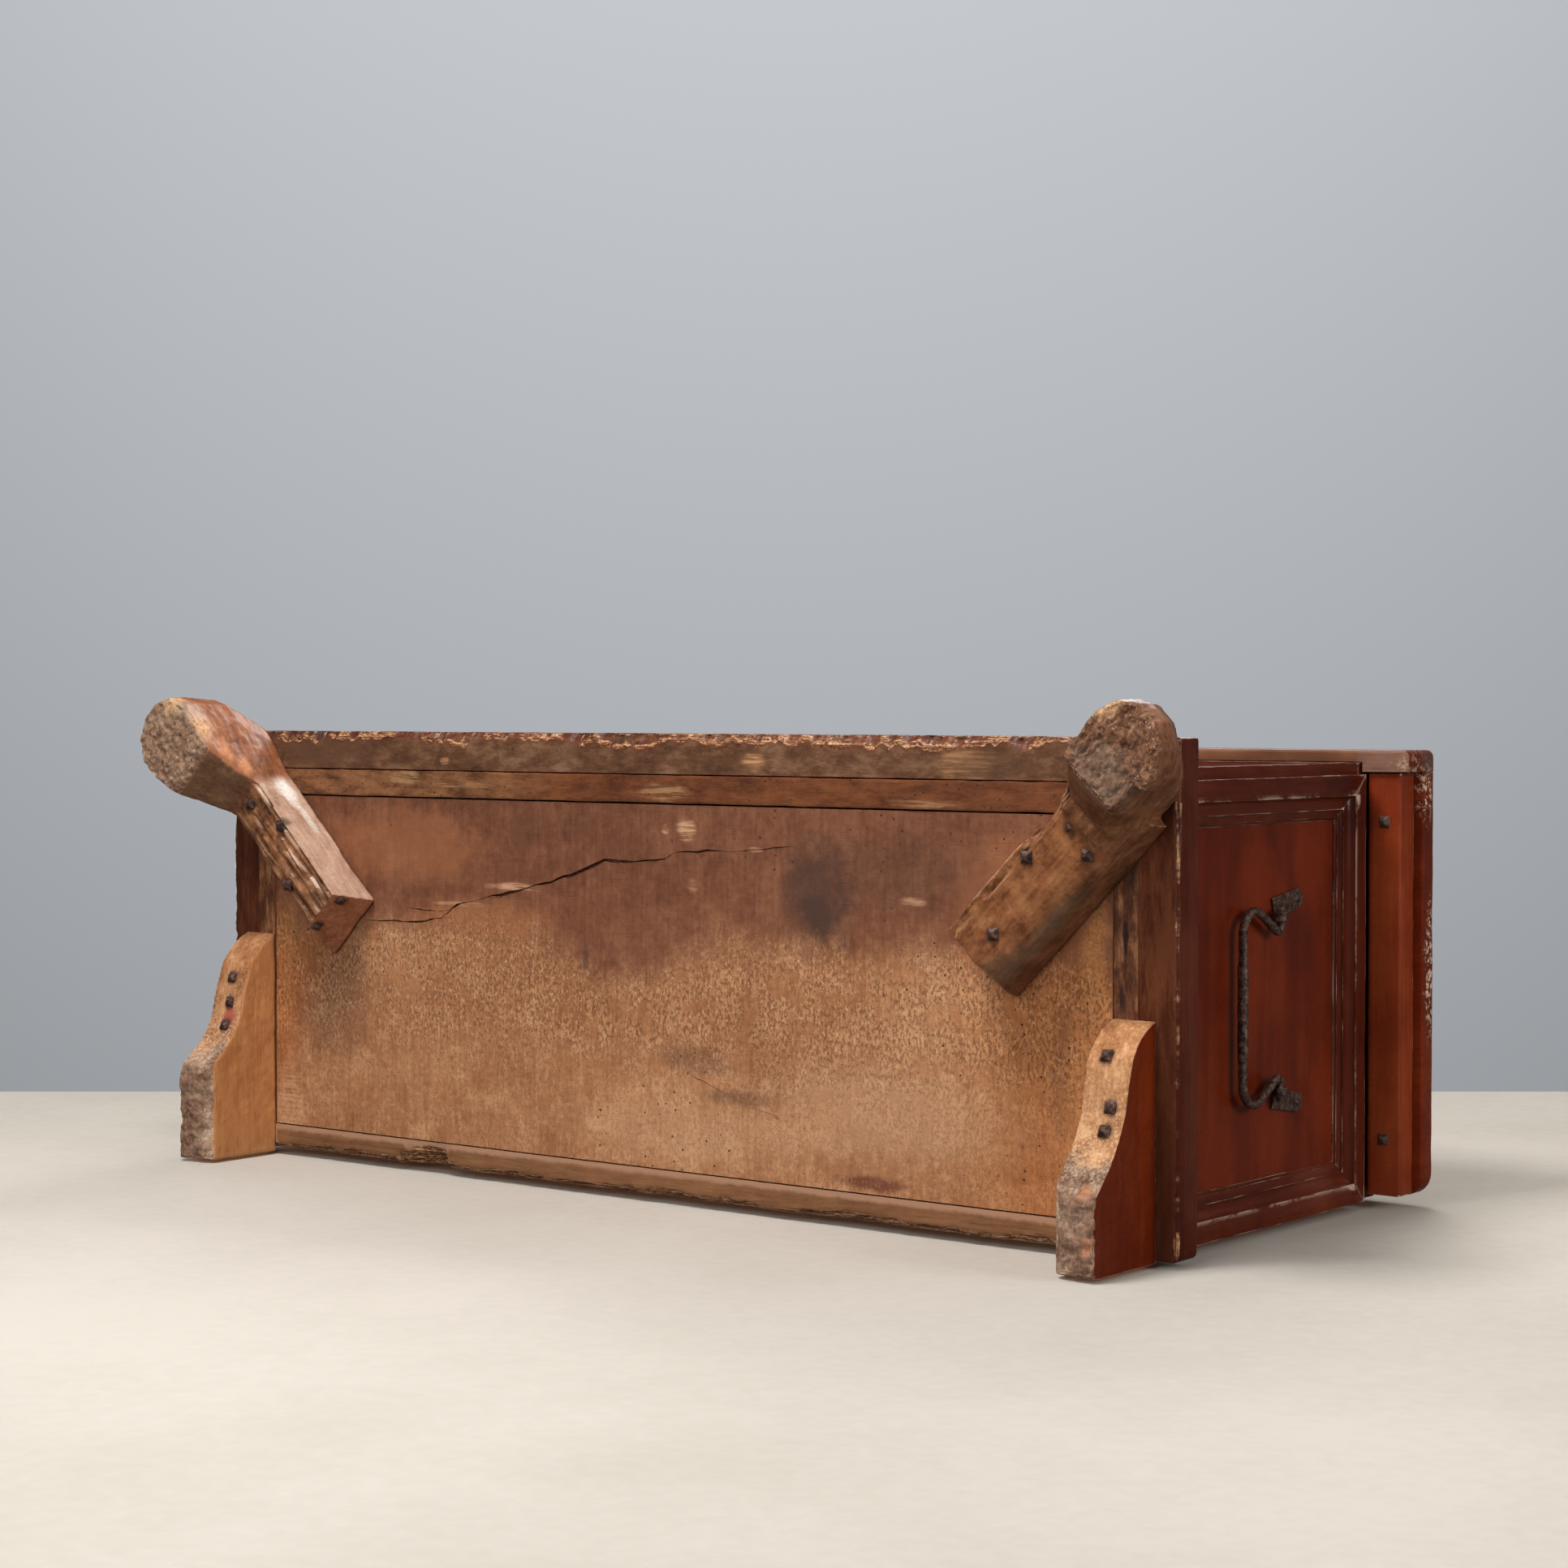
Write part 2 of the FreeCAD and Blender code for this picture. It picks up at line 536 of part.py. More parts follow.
def on_curve(side, x, y):
    """A spot on the sawn curve of a rear foot, facing squarely off it."""
    curve = sawn_curves[side]
    start, stop = next((a, b) for a, b in zip(curve, curve[1:]) if a[0] <= y <= b[0])
    arc = Part.Arc(V(*start[:2], 0), V(*start[2:], 0), V(*stop[:2], 0)).toShape()
    spot = min(arc.discretize(200), key=lambda p: abs(p.x - y))
    slope = arc.tangentAt(arc.Curve.parameter(spot))
    if slope.x < 0:
        slope = -slope
    facing = V(0, slope.y, -slope.x)
    head = V(side * x, spot.x, spot.y) + facing * curve_clearance
    return (tuple(head), tuple(facing), False)


def on_sawn_end(along, height):
    """A spot on the slanting sawn end of the left front foot."""
    depth = sawn_slant * height / -bar_depth
    diagonal = math.sqrt(0.5)
    spot = V(-SIZES["front_foot_x"] - (depth + along) * diagonal,
             -SIZES["front_foot_y"] + (along - depth) * diagonal, height)
    facing = V(bar_depth * diagonal, bar_depth * diagonal, -sawn_slant).normalize()
    return (tuple(spot + facing * curve_clearance / 5), tuple(facing), False)


foot_nails = [((517.3, -375.7, -56), down, False), ((567.4, -405.2, -56), down, False),
              ((584.5, -380.5, -56), down, False), ((479.4, -301.9, -56), down, False),
              ((-507.7, -381.1, -56), down, False), ((-558, -405, -56), down, False),
              ((-495.7, -313.5, -56), down, False), on_sawn_end(8, -46), on_sawn_end(-36, -40),
              on_curve(1, 597.3, -192.9), on_curve(1, 608.9, -147.1), on_curve(1, 607.9, -125.8),
              on_curve(-1, 600.7, -202), on_curve(-1, 596.9, -173.8), on_curve(-1, 596.3, -147.5)]
batten_nails = [((631, -428, 442), down, True), ((631, -36, 442), down, True)]
strap_nails = [((609, -324.5, 297), (1, 0, 0), True), ((609, -116.5, 297), (1, 0, 0), True)]
leaf_nails = [((430 + dx, 2.5, z), (0, 1, 0), True) for dx, z in ((-16, 450), (16, 450), (0, 416))]
edge_nails = [((430 + dx, -1.5, 488), (0, 1, 0), True) for dx in (-17, 17)]
pieces += [nails("foot_nails", foot_nails), nails("batten_nails", batten_nails),
           nails("strap_nails", strap_nails, 8, 3), nails("hinge_body_nails", leaf_nails, 8, 2.5),
           nails("hinge_lid_nails", edge_nails, 8, 2.5)]

doc.recompute()
for item in doc.Objects:
    assert not {"Invalid", "Error"} & set(item.State), item.Label
for piece in pieces:
    shape = piece.Shape
    assert not shape.isNull() and shape.isValid(), piece.Label
    shape.exportStep(f"parts/{piece.Label}.step")
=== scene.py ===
import json
import math
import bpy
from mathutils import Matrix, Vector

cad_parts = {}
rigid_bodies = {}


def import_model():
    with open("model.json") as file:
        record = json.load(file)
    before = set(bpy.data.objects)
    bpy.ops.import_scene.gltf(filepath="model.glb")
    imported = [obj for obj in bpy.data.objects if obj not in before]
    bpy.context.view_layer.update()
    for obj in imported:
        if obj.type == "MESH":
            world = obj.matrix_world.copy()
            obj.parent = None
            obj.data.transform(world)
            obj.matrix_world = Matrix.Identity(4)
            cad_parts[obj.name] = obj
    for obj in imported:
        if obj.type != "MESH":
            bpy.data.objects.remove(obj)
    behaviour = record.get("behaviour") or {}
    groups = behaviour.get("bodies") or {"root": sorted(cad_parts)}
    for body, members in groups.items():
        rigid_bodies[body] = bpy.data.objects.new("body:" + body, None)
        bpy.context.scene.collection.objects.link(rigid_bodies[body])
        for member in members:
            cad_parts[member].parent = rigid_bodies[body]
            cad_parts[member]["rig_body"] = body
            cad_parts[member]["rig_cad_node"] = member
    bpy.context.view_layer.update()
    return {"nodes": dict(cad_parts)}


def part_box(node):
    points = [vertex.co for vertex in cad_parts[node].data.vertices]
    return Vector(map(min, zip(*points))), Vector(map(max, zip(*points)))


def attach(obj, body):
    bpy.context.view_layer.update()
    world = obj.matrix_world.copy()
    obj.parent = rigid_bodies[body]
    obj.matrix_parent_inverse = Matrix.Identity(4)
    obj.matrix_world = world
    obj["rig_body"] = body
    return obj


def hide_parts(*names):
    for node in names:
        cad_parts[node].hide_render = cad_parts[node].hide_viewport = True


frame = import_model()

from types import SimpleNamespace

import bmesh
import bpy
import numpy as np
from mathutils import Matrix, Vector, noise


# The camera.
# The chest lies on its back in the photograph, so the camera stands below and to the right of the
# upright chest, with the front of the chest towards the top of the picture.
camera_place = Vector((2.1459, -0.2549, -2.373))
camera_yaw = math.radians(38.348)
camera_pitch = math.radians(1.417)
ahead = Vector((-math.sin(camera_yaw) * math.cos(camera_pitch), math.sin(camera_pitch),
    math.cos(camera_yaw) * math.cos(camera_pitch)))
across = Vector((math.cos(camera_yaw), 0, math.sin(camera_yaw)))
picture_up = across.cross(ahead)
bpy.ops.object.select_all(action="DESELECT")
bpy.ops.object.camera_add()
camera = bpy.context.active_object
camera.data.sensor_width = 36
focal_length = 71.27
camera.data.lens = focal_length
camera_axes = Matrix((across, picture_up, -ahead)).transposed().to_4x4()
camera.matrix_world = Matrix.Translation(camera_place) @ camera_axes
camera.data.clip_end = 60
bpy.context.scene.camera = camera
bpy.context.scene.view_settings.view_transform = "Standard"


# The room.
# A pale floor behind the chest's back, as it lies in the photograph, and a second one under its feet
# for the upright views. Each shows only from its front, and only to the eye, so neither darkens the chest.
def fill(tree, node, values):
    """Sets or links a node's inputs, each given by its name or its number."""
    for name, value in values.items():
        if isinstance(value, bpy.types.NodeSocket):
            tree.links.new(value, node.inputs[name])
        else:
            node.inputs[name].default_value = value
    return node


def add_node(tree, kind, values=None, **options):
    """A new shader node with its options set and its inputs filled."""
    node = tree.nodes.new("ShaderNode" + kind)
    for name, value in options.items():
        setattr(node, name, value)
    return fill(tree, node, values or {})


def tree_of(*values):
    """The node tree that the first socket among the values belongs to."""
    return next(value.id_data for value in values if isinstance(value, bpy.types.NodeSocket))


def calc(operation, first, second=0.0):
    return add_node(tree_of(first, second), "Math", {0: first, 1: second}, operation=operation).outputs[0]


def times(first, second):
    return calc("MULTIPLY", first, second)


def inverse(value):
    return calc("SUBTRACT", 1.0, value)


def total(*terms):
    """Sum of values, each given with its weight."""
    result = 0.0
    tree = tree_of(*(part for term in terms for part in term))
    for value, weight in terms:
        node = add_node(tree, "Math", {0: value, 1: weight, 2: result}, operation="MULTIPLY_ADD")
        result = node.outputs[0]
    return result


def vector_calc(operation, first, second=(0, 0, 0)):
    node = add_node(tree_of(first, second), "VectorMath", {0: first, 1: second}, operation=operation)
    return node.outputs["Value" if operation in ("LENGTH", "DOT_PRODUCT") else "Vector"]


def scaled(place, by):
    """A place squeezed along some axes; what is drawn there comes out long along them."""
    return vector_calc("MULTIPLY", place, by)


def axes_of(place):
    return add_node(tree_of(place), "SeparateXYZ", {"Vector": place}).outputs


def between(value, low, high, start=0.0, end=1.0):
    """Value carried smoothly from start at low to end at high."""
    values = {"Value": value, "From Min": low, "From Max": high, "To Min": start, "To Max": end}
    node = add_node(tree_of(value, low), "MapRange", values, interpolation_type="SMOOTHSTEP")
    return node.outputs["Result"]


def mix(factor, first, second):
    """Colours mixed by a mask; a colour may be given as three numbers."""
    first, second = ((*c, 1) if isinstance(c, tuple) else c for c in (first, second))
    return add_node(tree_of(factor, first, second), "Mix", {"Factor": factor, 6: first, 7: second},
        data_type="RGBA", clamp_factor=True).outputs[2]


def cloud(place, scale, detail=3.0, roughness=0.55, distortion=0.0):
    """Smooth noise from 0 to 1."""
    values = {"Vector": place, "Scale": scale, "Detail": detail, "Roughness": roughness,
        "Distortion": distortion}
    return add_node(tree_of(place), "TexNoise", values).outputs["Fac"]


def ramp(value, places, *colours):
    """A run of colours along a value, each at its place."""
    node = add_node(tree_of(value), "ValToRGB", {"Fac": value})
    elements = node.color_ramp.elements
    while len(elements) < len(places):
        elements.new(0.5)
    for element, place, colour in zip(elements, places, colours):
        element.position = place
        element.color = (*colour, 1)
    return node.outputs["Color"]


def new_material(name):
    """An empty material and its node tree."""
    material = bpy.data.materials.new(name)
    material.use_nodes = True
    material.node_tree.nodes.clear()
    return material, material.node_tree


lying_floor_y = 0.27
picture_side = 1932
wall_row = 1345
focal_pixels = focal_length / camera.data.sensor_width * picture_side
wall_ray = ahead - picture_up * ((wall_row - picture_side / 2) / focal_pixels)
wall_foot = camera_place + wall_ray * ((lying_floor_y - camera_place.y) / wall_ray.y)
to_wall = Vector((ahead.x, 0, ahead.z)).normalized()
floor_reach = 9
bpy.ops.object.select_all(action="DESELECT")
bpy.ops.mesh.primitive_plane_add(size=1)
lying_floor = bpy.context.active_object
lying_floor.name = "lying_floor"
corners = (-floor_reach, floor_reach), (floor_reach, floor_reach), (-floor_reach, 0), (floor_reach, 0)
for vertex, (right, near) in zip(lying_floor.data.vertices, corners):
    vertex.co = wall_foot + across * right - to_wall * near
lying_floor.data.update()
if lying_floor.data.polygons[0].normal.y > 0:
    lying_floor.data.flip_normals()
bpy.ops.object.select_all(action="DESELECT")
bpy.ops.mesh.primitive_plane_add(size=2 * floor_reach, location=(0, 0, -0.0005))
standing_floor = bpy.context.active_object
standing_floor.name = "standing_floor"

floor_finish, tree = new_material("pale_floor")
place = add_node(tree, "TexCoord").outputs["Object"]
mottle = total((cloud(place, 1.8, 5.0), 0.75), (cloud(place, 60.0, 3.0), 0.25))
floor_colour = ramp(mottle, (0.36, 0.62), (0.428, 0.388, 0.338), (0.489, 0.446, 0.394))
from_wall = calc("SUBTRACT", wall_foot.dot(to_wall), vector_calc("DOT_PRODUCT", place, to_wall))
floor_shade = between(from_wall, 0.0, 0.9, 0.87, 1.0)
floor_colour = add_node(tree, "VectorMath", {0: floor_colour, "Scale": floor_shade},
    operation="SCALE").outputs[0]
path = add_node(tree, "LightPath").outputs
floor_colour = mix(path["Is Glossy Ray"], floor_colour, (0.085, 0.075, 0.064))
solid = add_node(tree, "BsdfDiffuse", {"Color": floor_colour}).outputs[0]
clear = add_node(tree, "BsdfTransparent").outputs[0]
eye = calc("MAXIMUM", path["Is Camera Ray"], path["Is Glossy Ray"])
behind = add_node(tree, "NewGeometry").outputs["Backfacing"]
shown = times(eye, inverse(behind))
shader = add_node(tree, "MixShader", {0: shown, 1: clear, 2: solid}).outputs[0]
add_node(tree, "OutputMaterial", {"Surface": shader})
for floor in (lying_floor, standing_floor):
    floor.data.materials.append(floor_finish)


# The light.
# One soft lamp above and in front of the chest as it lies, a second above and behind it that gives the
# sheen, a fill from the camera's side, and weaker ones for the top and the back in the upright views.
world = bpy.data.worlds.new("room")
bpy.context.scene.world = world
world.use_nodes = True
sky = world.node_tree
sky.nodes.clear()
paths = add_node(sky, "LightPath").outputs
direction = add_node(sky, "TexCoord").outputs["Generated"]
# Painted light on the backdrop: the wall the eye sees is brighter towards the top of the view and dimmer
# lower down and to the sides.
depth = calc("MAXIMUM", vector_calc("DOT_PRODUCT", direction, ahead), 0.2)
rise = calc("DIVIDE", vector_calc("DOT_PRODUCT", direction, picture_up), depth)
aside = calc("DIVIDE", vector_calc("DOT_PRODUCT", direction, across), depth)
wall_level = calc("MAXIMUM", calc("MINIMUM", total((rise, 0.58), (1.0, 0.415)), 0.56), 0.34)
wall_level = times(wall_level, calc("MAXIMUM", inverse(times(times(aside, aside), 1.9)), 0.8))
sky_level = 0.3
shine_level = 0.09
dim = add_node(sky, "Mix", {0: paths["Is Glossy Ray"], 2: sky_level, 3: shine_level}).outputs[0]
light = add_node(sky, "Background", {"Color": (1, 0.99, 0.97, 1), "Strength": dim}).outputs[0]
wall = add_node(sky, "Background", {"Color": (1, 1.04, 1.1, 1), "Strength": wall_level}).outputs[0]
either = add_node(sky, "MixShader", {0: paths["Is Camera Ray"], 1: light, 2: wall}).outputs[0]
add_node(sky, "OutputWorld", {"Surface": either})

chest_middle = Vector((0, 0, 0.3))
for name, lamp_place, size, power in (("upper_front_softbox", (0.07, -2.34, -0.92), 0.8, 74),
        ("upper_back_softbox", (-0.5, -2.0, 2.2), 1.3, 52), ("camera_softbox", (0.9, -1.1, -2.9), 1.6, 50),
        ("end_softbox", (3.1, -0.9, 0.5), 1.2, 32), ("left_softbox", (-3.1, -0.5, 0.9), 1.2, 22),
        ("top_softbox", (-0.6, 0.9, 3.0), 1.4, 20), ("back_softbox", (-0.9, 2.6, 2.0), 1.6, 12)):
    bpy.ops.object.select_all(action="DESELECT")
    bpy.ops.object.light_add(type="AREA", location=lamp_place)
    lamp = bpy.context.active_object
    lamp.name = name
    lamp.data.size = size
    lamp.data.energy = power
    lamp.rotation_euler = (chest_middle - Vector(lamp_place)).to_track_quat("-Z", "Y").to_euler()


# Old wood, common to every wooden piece.
# Walnut boards stained and waxed outside, left bare inside and underneath. Each finish is worked out from
# the grain, the worn arrises, the darkening in the inward corners and the places where the wood is torn.
def new_group(name, **inputs):
    """A shader node group with its inputs and their usual values; returns its tree and its inputs."""
    tree = bpy.data.node_groups.new(name, "ShaderNodeTree")
    for label, value in inputs.items():
        kind = "NodeSocketVector" if isinstance(value, tuple) else "NodeSocketFloat"
        tree.interface.new_socket(label, in_out="INPUT", socket_type=kind).default_value = value
    entry = tree.nodes.new("NodeGroupInput")
    return tree, {label: entry.outputs[label] for label in inputs}


def give(tree, values):
    """What a group gives out, by name."""
    for label in values:
        tree.interface.new_socket(label, in_out="OUTPUT", socket_type="NodeSocketFloat")
    fill(tree, tree.nodes.new("NodeGroupOutput"), values)


def use_group(group, values):
    """Places a group in a material and returns its outputs."""
    return add_node(tree_of(*values.values()), "Group", values, node_tree=group).outputs


# Grain: fine streaks drawn out along the board, broad figure and short dark pores.
grain_group, given = new_group("wood_grain", Place=(0, 0, 0), Along=(1, 1, 1))
bend = add_node(grain_group, "TexNoise", {"Vector": given["Place"], "Scale": 4.0, "Detail": 2.0})
sway = scaled(bend.outputs["Color"], (0.02, 0.02, 0.02))
drawn = scaled(vector_calc("ADD", given["Place"], sway), given["Along"])
give(grain_group, {
    "Streaks": cloud(drawn, 260.0, 4.0, 0.65), "Figure": cloud(drawn, 22.0, 3.0, 0.5, 1.5),
    "Pores": between(cloud(drawn, 624.0, 2.0), 0.62, 0.72)})

# Worn arris: the mesh's own worn mark, broken up so that the wear comes and goes.
wear_group, given = new_group("worn_arris", Worn=0.0, Place=(0, 0, 0), Amount=1.0)
patches = calc("SUBTRACT", cloud(given["Place"], 34.0, 6.0, 0.75), 0.5)
level = total((given["Worn"], given["Amount"]), (patches, 0.8))
give(wear_group, {"Mask": times(between(level, 0.35, 0.75), between(given["Worn"], 0.03, 0.16))})

# Worm holes: small dark flight holes scattered at a given spacing, some of them left out.
worm_group, given = new_group("worm_holes", Place=(0, 0, 0), Scale=80.0, Size=0.16, Share=0.5)
cells = add_node(worm_group, "TexVoronoi", {"Vector": given["Place"], "Scale": given["Scale"]})
chance = add_node(worm_group, "SeparateColor", {"Color": cells.outputs["Color"]}).outputs["Red"]
hole = calc("LESS_THAN", cells.outputs["Distance"], given["Size"])
give(worm_group, {"Mask": times(hole, calc("LESS_THAN", chance, given["Share"]))})

# Soft spot: a stain or patch with its own centre and reach and a ragged edge.
spot_group, given = new_group("soft_spot", Place=(0, 0, 0), Centre=(0, 0, 0), Reach=(1, 1, 1),
    Raggedness=0.5)
ragged = times(calc("SUBTRACT", cloud(given["Place"], 42.0, 6.0, 0.65), 0.5), given["Raggedness"])
away = vector_calc("DIVIDE", vector_calc("SUBTRACT", given["Place"], given["Centre"]), given["Reach"])
distance = calc("ADD", vector_calc("LENGTH", away), ragged)
give(spot_group, {"Mask": between(distance, 0.35, 1.0, 1.0, 0.0)})

# Scratches: thin light lines drawn out along one direction, only in some places.
scratch_group, given = new_group("scratches", Place=(0, 0, 0), Along=(1, 1, 1), Share=0.5)
line_place = scaled(given["Place"], given["Along"])
line = between(cloud(line_place, 300.0, 2.0, 0.5, 0.6), 0.7, 0.76)
patch = between(cloud(given["Place"], 9.0, 3.0), inverse(given["Share"]), 1.0)
give(scratch_group, {"Mask": times(line, patch)})


def holes_in(place, scale, size, share):
    return use_group(worm_group, {"Place": place, "Scale": scale, "Size": size, "Share": share})["Mask"]


def spot(place, centre, reach, raggedness):
    values = {"Place": place, "Centre": centre, "Reach": reach, "Raggedness": raggedness}
    return use_group(spot_group, values)["Mask"]


def facing(normal, direction, low=0.45, high=0.75):
    """Mask of the surface that faces one way."""
    return between(vector_calc("DOT_PRODUCT", normal, direction), low, high)


DOWN = (0, 0, -1)
UNDERSIDE_Z = 0.108


def patches_of(place, colour, tint, marks, fray=0.0, along=(1, 1, 1)):
    """Lays patches of one tint over a colour, frayed along the grain: each a centre, a reach and a strength,
    or x, y, the reach along each and a strength for one on the underside of the box."""
    fibres = between(cloud(scaled(place, along), 330.0, 5.0, 0.7), 0.46, 0.56)
    thread = total((fibres, fray), (1.0, 1 - fray))
    for mark in marks:
        if len(mark) == 5:
            x, y, reach_x, reach_y, strength = mark
            mark = (x, y, UNDERSIDE_Z), (reach_x, reach_y, 0.1), strength
        centre, reach, strength = mark
        mask = times(spot(place, centre, reach, 1.3), thread)
        colour = mix(total((mask, strength)), colour, tint)
    return colour


ALONG_X = (0.045, 1, 1)
ALONG_Y = (1, 0.045, 1)
ALONG_Z = (1, 1, 0.045)
red_walnut = ((0.066, 0.0073, 0.0016), (0.112, 0.0125, 0.002), (0.176, 0.025, 0.0045))
dark_walnut = ((0.036, 0.005, 0.0022), (0.086, 0.0135, 0.005), (0.16, 0.036, 0.016))
brown_walnut = ((0.04, 0.009, 0.004), (0.1, 0.024, 0.01), (0.19, 0.06, 0.03))
bare_walnut = ((0.115, 0.045, 0.02), (0.3, 0.125, 0.055))
worn_wood = (0.42, 0.225, 0.135)
dirt = (0.022, 0.012, 0.009)


def old_wood(name, along, bare_sides=(), polish=red_walnut, bare=bare_walnut, wear=1.0, gloss=0.3, sheen=0.1,
        extra=None):
    """Polished wood with bare sides; extra adds what only one piece shows."""
    material, tree = new_material(name)
    coordinates = add_node(tree, "TexCoord").outputs
    place, normal = coordinates["Object"], coordinates["Normal"]
    grain = use_group(grain_group, {"Place": place, "Along": along})
    broad = cloud(place, 5.0, 4.0, 0.6)
    speckle = cloud(place, 330.0, 3.0, 0.7)
    tone = total((grain["Figure"], 0.32), (grain["Streaks"], 0.13), (broad, 0.55))
    polished = ramp(tone, (0.36, 0.5, 0.65), *polish)
    mottled = cloud(scaled(place, [0.3 + 0.7 * part for part in along]), 95.0, 6.0, 0.75)
    plain_tone = total((grain["Figure"], 0.2), (grain["Streaks"], 0.25), (broad, 0.2), (mottled, 0.35))
    plain = ramp(plain_tone, (0.36, 0.64), *bare)
    bare_mask = 0.0
    for side in bare_sides:
        bare_mask = calc("MAXIMUM", bare_mask, facing(normal, side))
    colour = mix(bare_mask, polished, plain)
    colour = mix(times(grain["Pores"], 0.35), colour, dirt)

    worn, crevice, torn = (add_node(tree, "Attribute", attribute_name=label).outputs["Fac"] for label in
        ("worn", "crevice", "torn"))
    rubbed = use_group(wear_group, {"Worn": worn, "Place": place, "Amount": wear})["Mask"]
    colour = mix(times(rubbed, 0.8), colour, worn_wood)
    scratches = use_group(scratch_group, {"Place": place, "Along": along, "Share": 0.42})["Mask"]
    colour = mix(times(scratches, 0.25), colour, worn_wood)
    # Darker in the inward corners, from the crevice mark.
    corner_darkening = between(total((crevice, 1.0), (broad, 0.25)), 0.2, 0.7)
    colour = mix(times(corner_darkening, 0.6), colour, dirt)
    fibres = cloud(scaled(place, along), 520.0, 4.0, 0.75)
    shreds = total((fibres, 0.75), (speckle, 0.25))
    broken = ramp(shreds, (0.42, 0.51, 0.61), (0.04, 0.013, 0.006), (0.2, 0.073, 0.028), (0.62, 0.36, 0.19))
    colour = mix(between(total((torn, 1.0), (cloud(place, 120.0, 5.0, 0.7), 0.6)), 0.55, 0.8), colour,
        broken)

    matt = calc("MAXIMUM", calc("MAXIMUM", bare_mask, torn), times(rubbed, 0.7))
    roughness = total((matt, 0.42), (speckle, 0.24), (1.0, gloss - 0.12))
    height = total((grain["Streaks"], 0.3), (grain["Pores"], -0.22), (scratches, -0.3), (speckle, 0.25),
        (times(shreds, torn), 3.0))
    wood = SimpleNamespace(place=place, normal=normal, colour=colour, rough=roughness, height=height,
        grain=grain, broad=broad, worn=worn, torn=torn)
    if extra:
        extra(wood)
    bump = add_node(tree, "Bump", {"Height": wood.height, "Strength": 0.8, "Distance": 0.0007})
    level = times(inverse(calc("MINIMUM", matt, 1.0)), sheen)
    shader = add_node(tree, "BsdfPrincipled", {"Base Color": wood.colour, "Roughness": wood.rough,
        "Normal": bump.outputs["Normal"], "Coat Weight": level, "Coat Roughness": 0.2,
        "Specular IOR Level": 0.18})
    add_node(tree, "OutputMaterial", {"Surface": shader.outputs[0]})
    return material


def select_only(piece):
    bpy.ops.object.select_all(action="DESELECT")
    piece.select_set(True)
    bpy.context.view_layer.objects.active = piece


def copy_of(node):
    """A separate copy of a piece of the frame, its triangles merged back into whole flat faces."""
    select_only(frame["nodes"][node])
    bpy.ops.object.duplicate()
    piece = bpy.context.active_object
    piece.name = "old_" + node
    piece.data.materials.clear()
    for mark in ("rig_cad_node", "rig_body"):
        del piece[mark]
    bpy.ops.mesh.customdata_custom_splitnormals_clear()
    bpy.ops.object.mode_set(mode="EDIT")
    bpy.ops.mesh.select_all(action="SELECT")
    bpy.ops.mesh.remove_doubles(threshold=0.00001)
    bpy.ops.mesh.dissolve_limited(angle_limit=math.radians(0.5))
    bpy.ops.object.mode_set(mode="OBJECT")
    return piece


def cut_across(piece, axis, places):
    """Cuts the whole mesh square across one axis at each place, so that it can waver there."""
    straight = [0, 0, 0]
    straight[axis] = 1
    select_only(piece)
    bpy.ops.object.mode_set(mode="EDIT")
    for place in places:
        bpy.ops.mesh.select_all(action="SELECT")
        bpy.ops.mesh.bisect(plane_co=[place * part for part in straight], plane_no=straight)
    bpy.ops.object.mode_set(mode="OBJECT")


def cut_into_lengths(piece, axis, step):
    low = min(v.co[axis] for v in piece.data.vertices)
    high = max(v.co[axis] for v in piece.data.vertices)
    count = int((high - low) / step)
    cut_across(piece, axis, [low + (high - low) * index / count for index in range(1, count)])


def apply_modifier(piece, kind, **settings):
    select_only(piece)
    modifier = piece.modifiers.new(kind.lower(), kind)
    for name, value in settings.items():
        setattr(modifier, name, value)
    bpy.ops.object.modifier_apply(modifier=modifier.name)


def set_mark(piece, label, values):
    """Writes one number per vertex, which the finish reads; a mark already there keeps its higher values."""
    old = piece.data.attributes.get(label)
    if old:
        before = np.empty(len(values), np.float32)
        old.data.foreach_get("value", before)
        values = np.maximum(values, before)
    attribute = old or piece.data.attributes.new(label, "FLOAT", "POINT")
    attribute.data.foreach_set("value", np.asarray(values, np.float32))


def mark_wear(piece):
    """Marks outward corners as worn and inward ones as crevices, from the turn between faces."""
    form = bmesh.new()
    form.from_mesh(piece.data)
    turn = np.zeros(len(form.verts))
    for vertex in form.verts:
        angles = [edge.calc_face_angle_signed(0) for edge in vertex.link_edges]
        turn[vertex.index] = sum(angles) / max(len(angles), 1)
    form.free()
    gain = 1.6
    set_mark(piece, "worn", np.clip((turn - 0.06) * gain, 0, 1))
    set_mark(piece, "crevice", np.clip((-turn - 0.05) * gain, 0, 1))


def rough(place, scale, seed):
    """Uneven value from about -1 to 1; scale is one number or one for each axis."""
    scales = scale if isinstance(scale, tuple) else (scale,) * 3
    spread = Vector(a * b for a, b in zip(place, scales))
    return noise.fractal(spread + Vector((seed * 3.1, seed * 1.7, seed * 2.3)), 0.6, 2.1, 4)


def carve(piece, shape):
    """Moves each vertex as shape says and marks how torn the wood is there."""
    told = [shape(vertex.co.copy(), vertex.normal.copy()) for vertex in piece.data.vertices]
    for vertex, (move, _) in zip(piece.data.vertices, told):
        vertex.co += move
    piece.data.update()
    set_mark(piece, "torn", np.array([torn for _, torn in told]))


def wavering(depth, seed, scale=40):
    """Shape that sinks the surface here and there by up to depth."""
    return lambda co, normal: (normal * (-depth * max(0, min(1, 0.4 + 0.8 * rough(co, scale, seed)))), 0)


def finish_piece(piece, material, body, node, angle=35):
    """Smooths the faces, gives the finish and lets the piece stand for its node."""
    if "worn" not in piece.data.attributes:
        mark_wear(piece)
    piece.data.materials.append(material)
    select_only(piece)
    bpy.ops.object.shade_smooth_by_angle(angle=math.radians(angle))
    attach(piece, body)
    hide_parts(node)


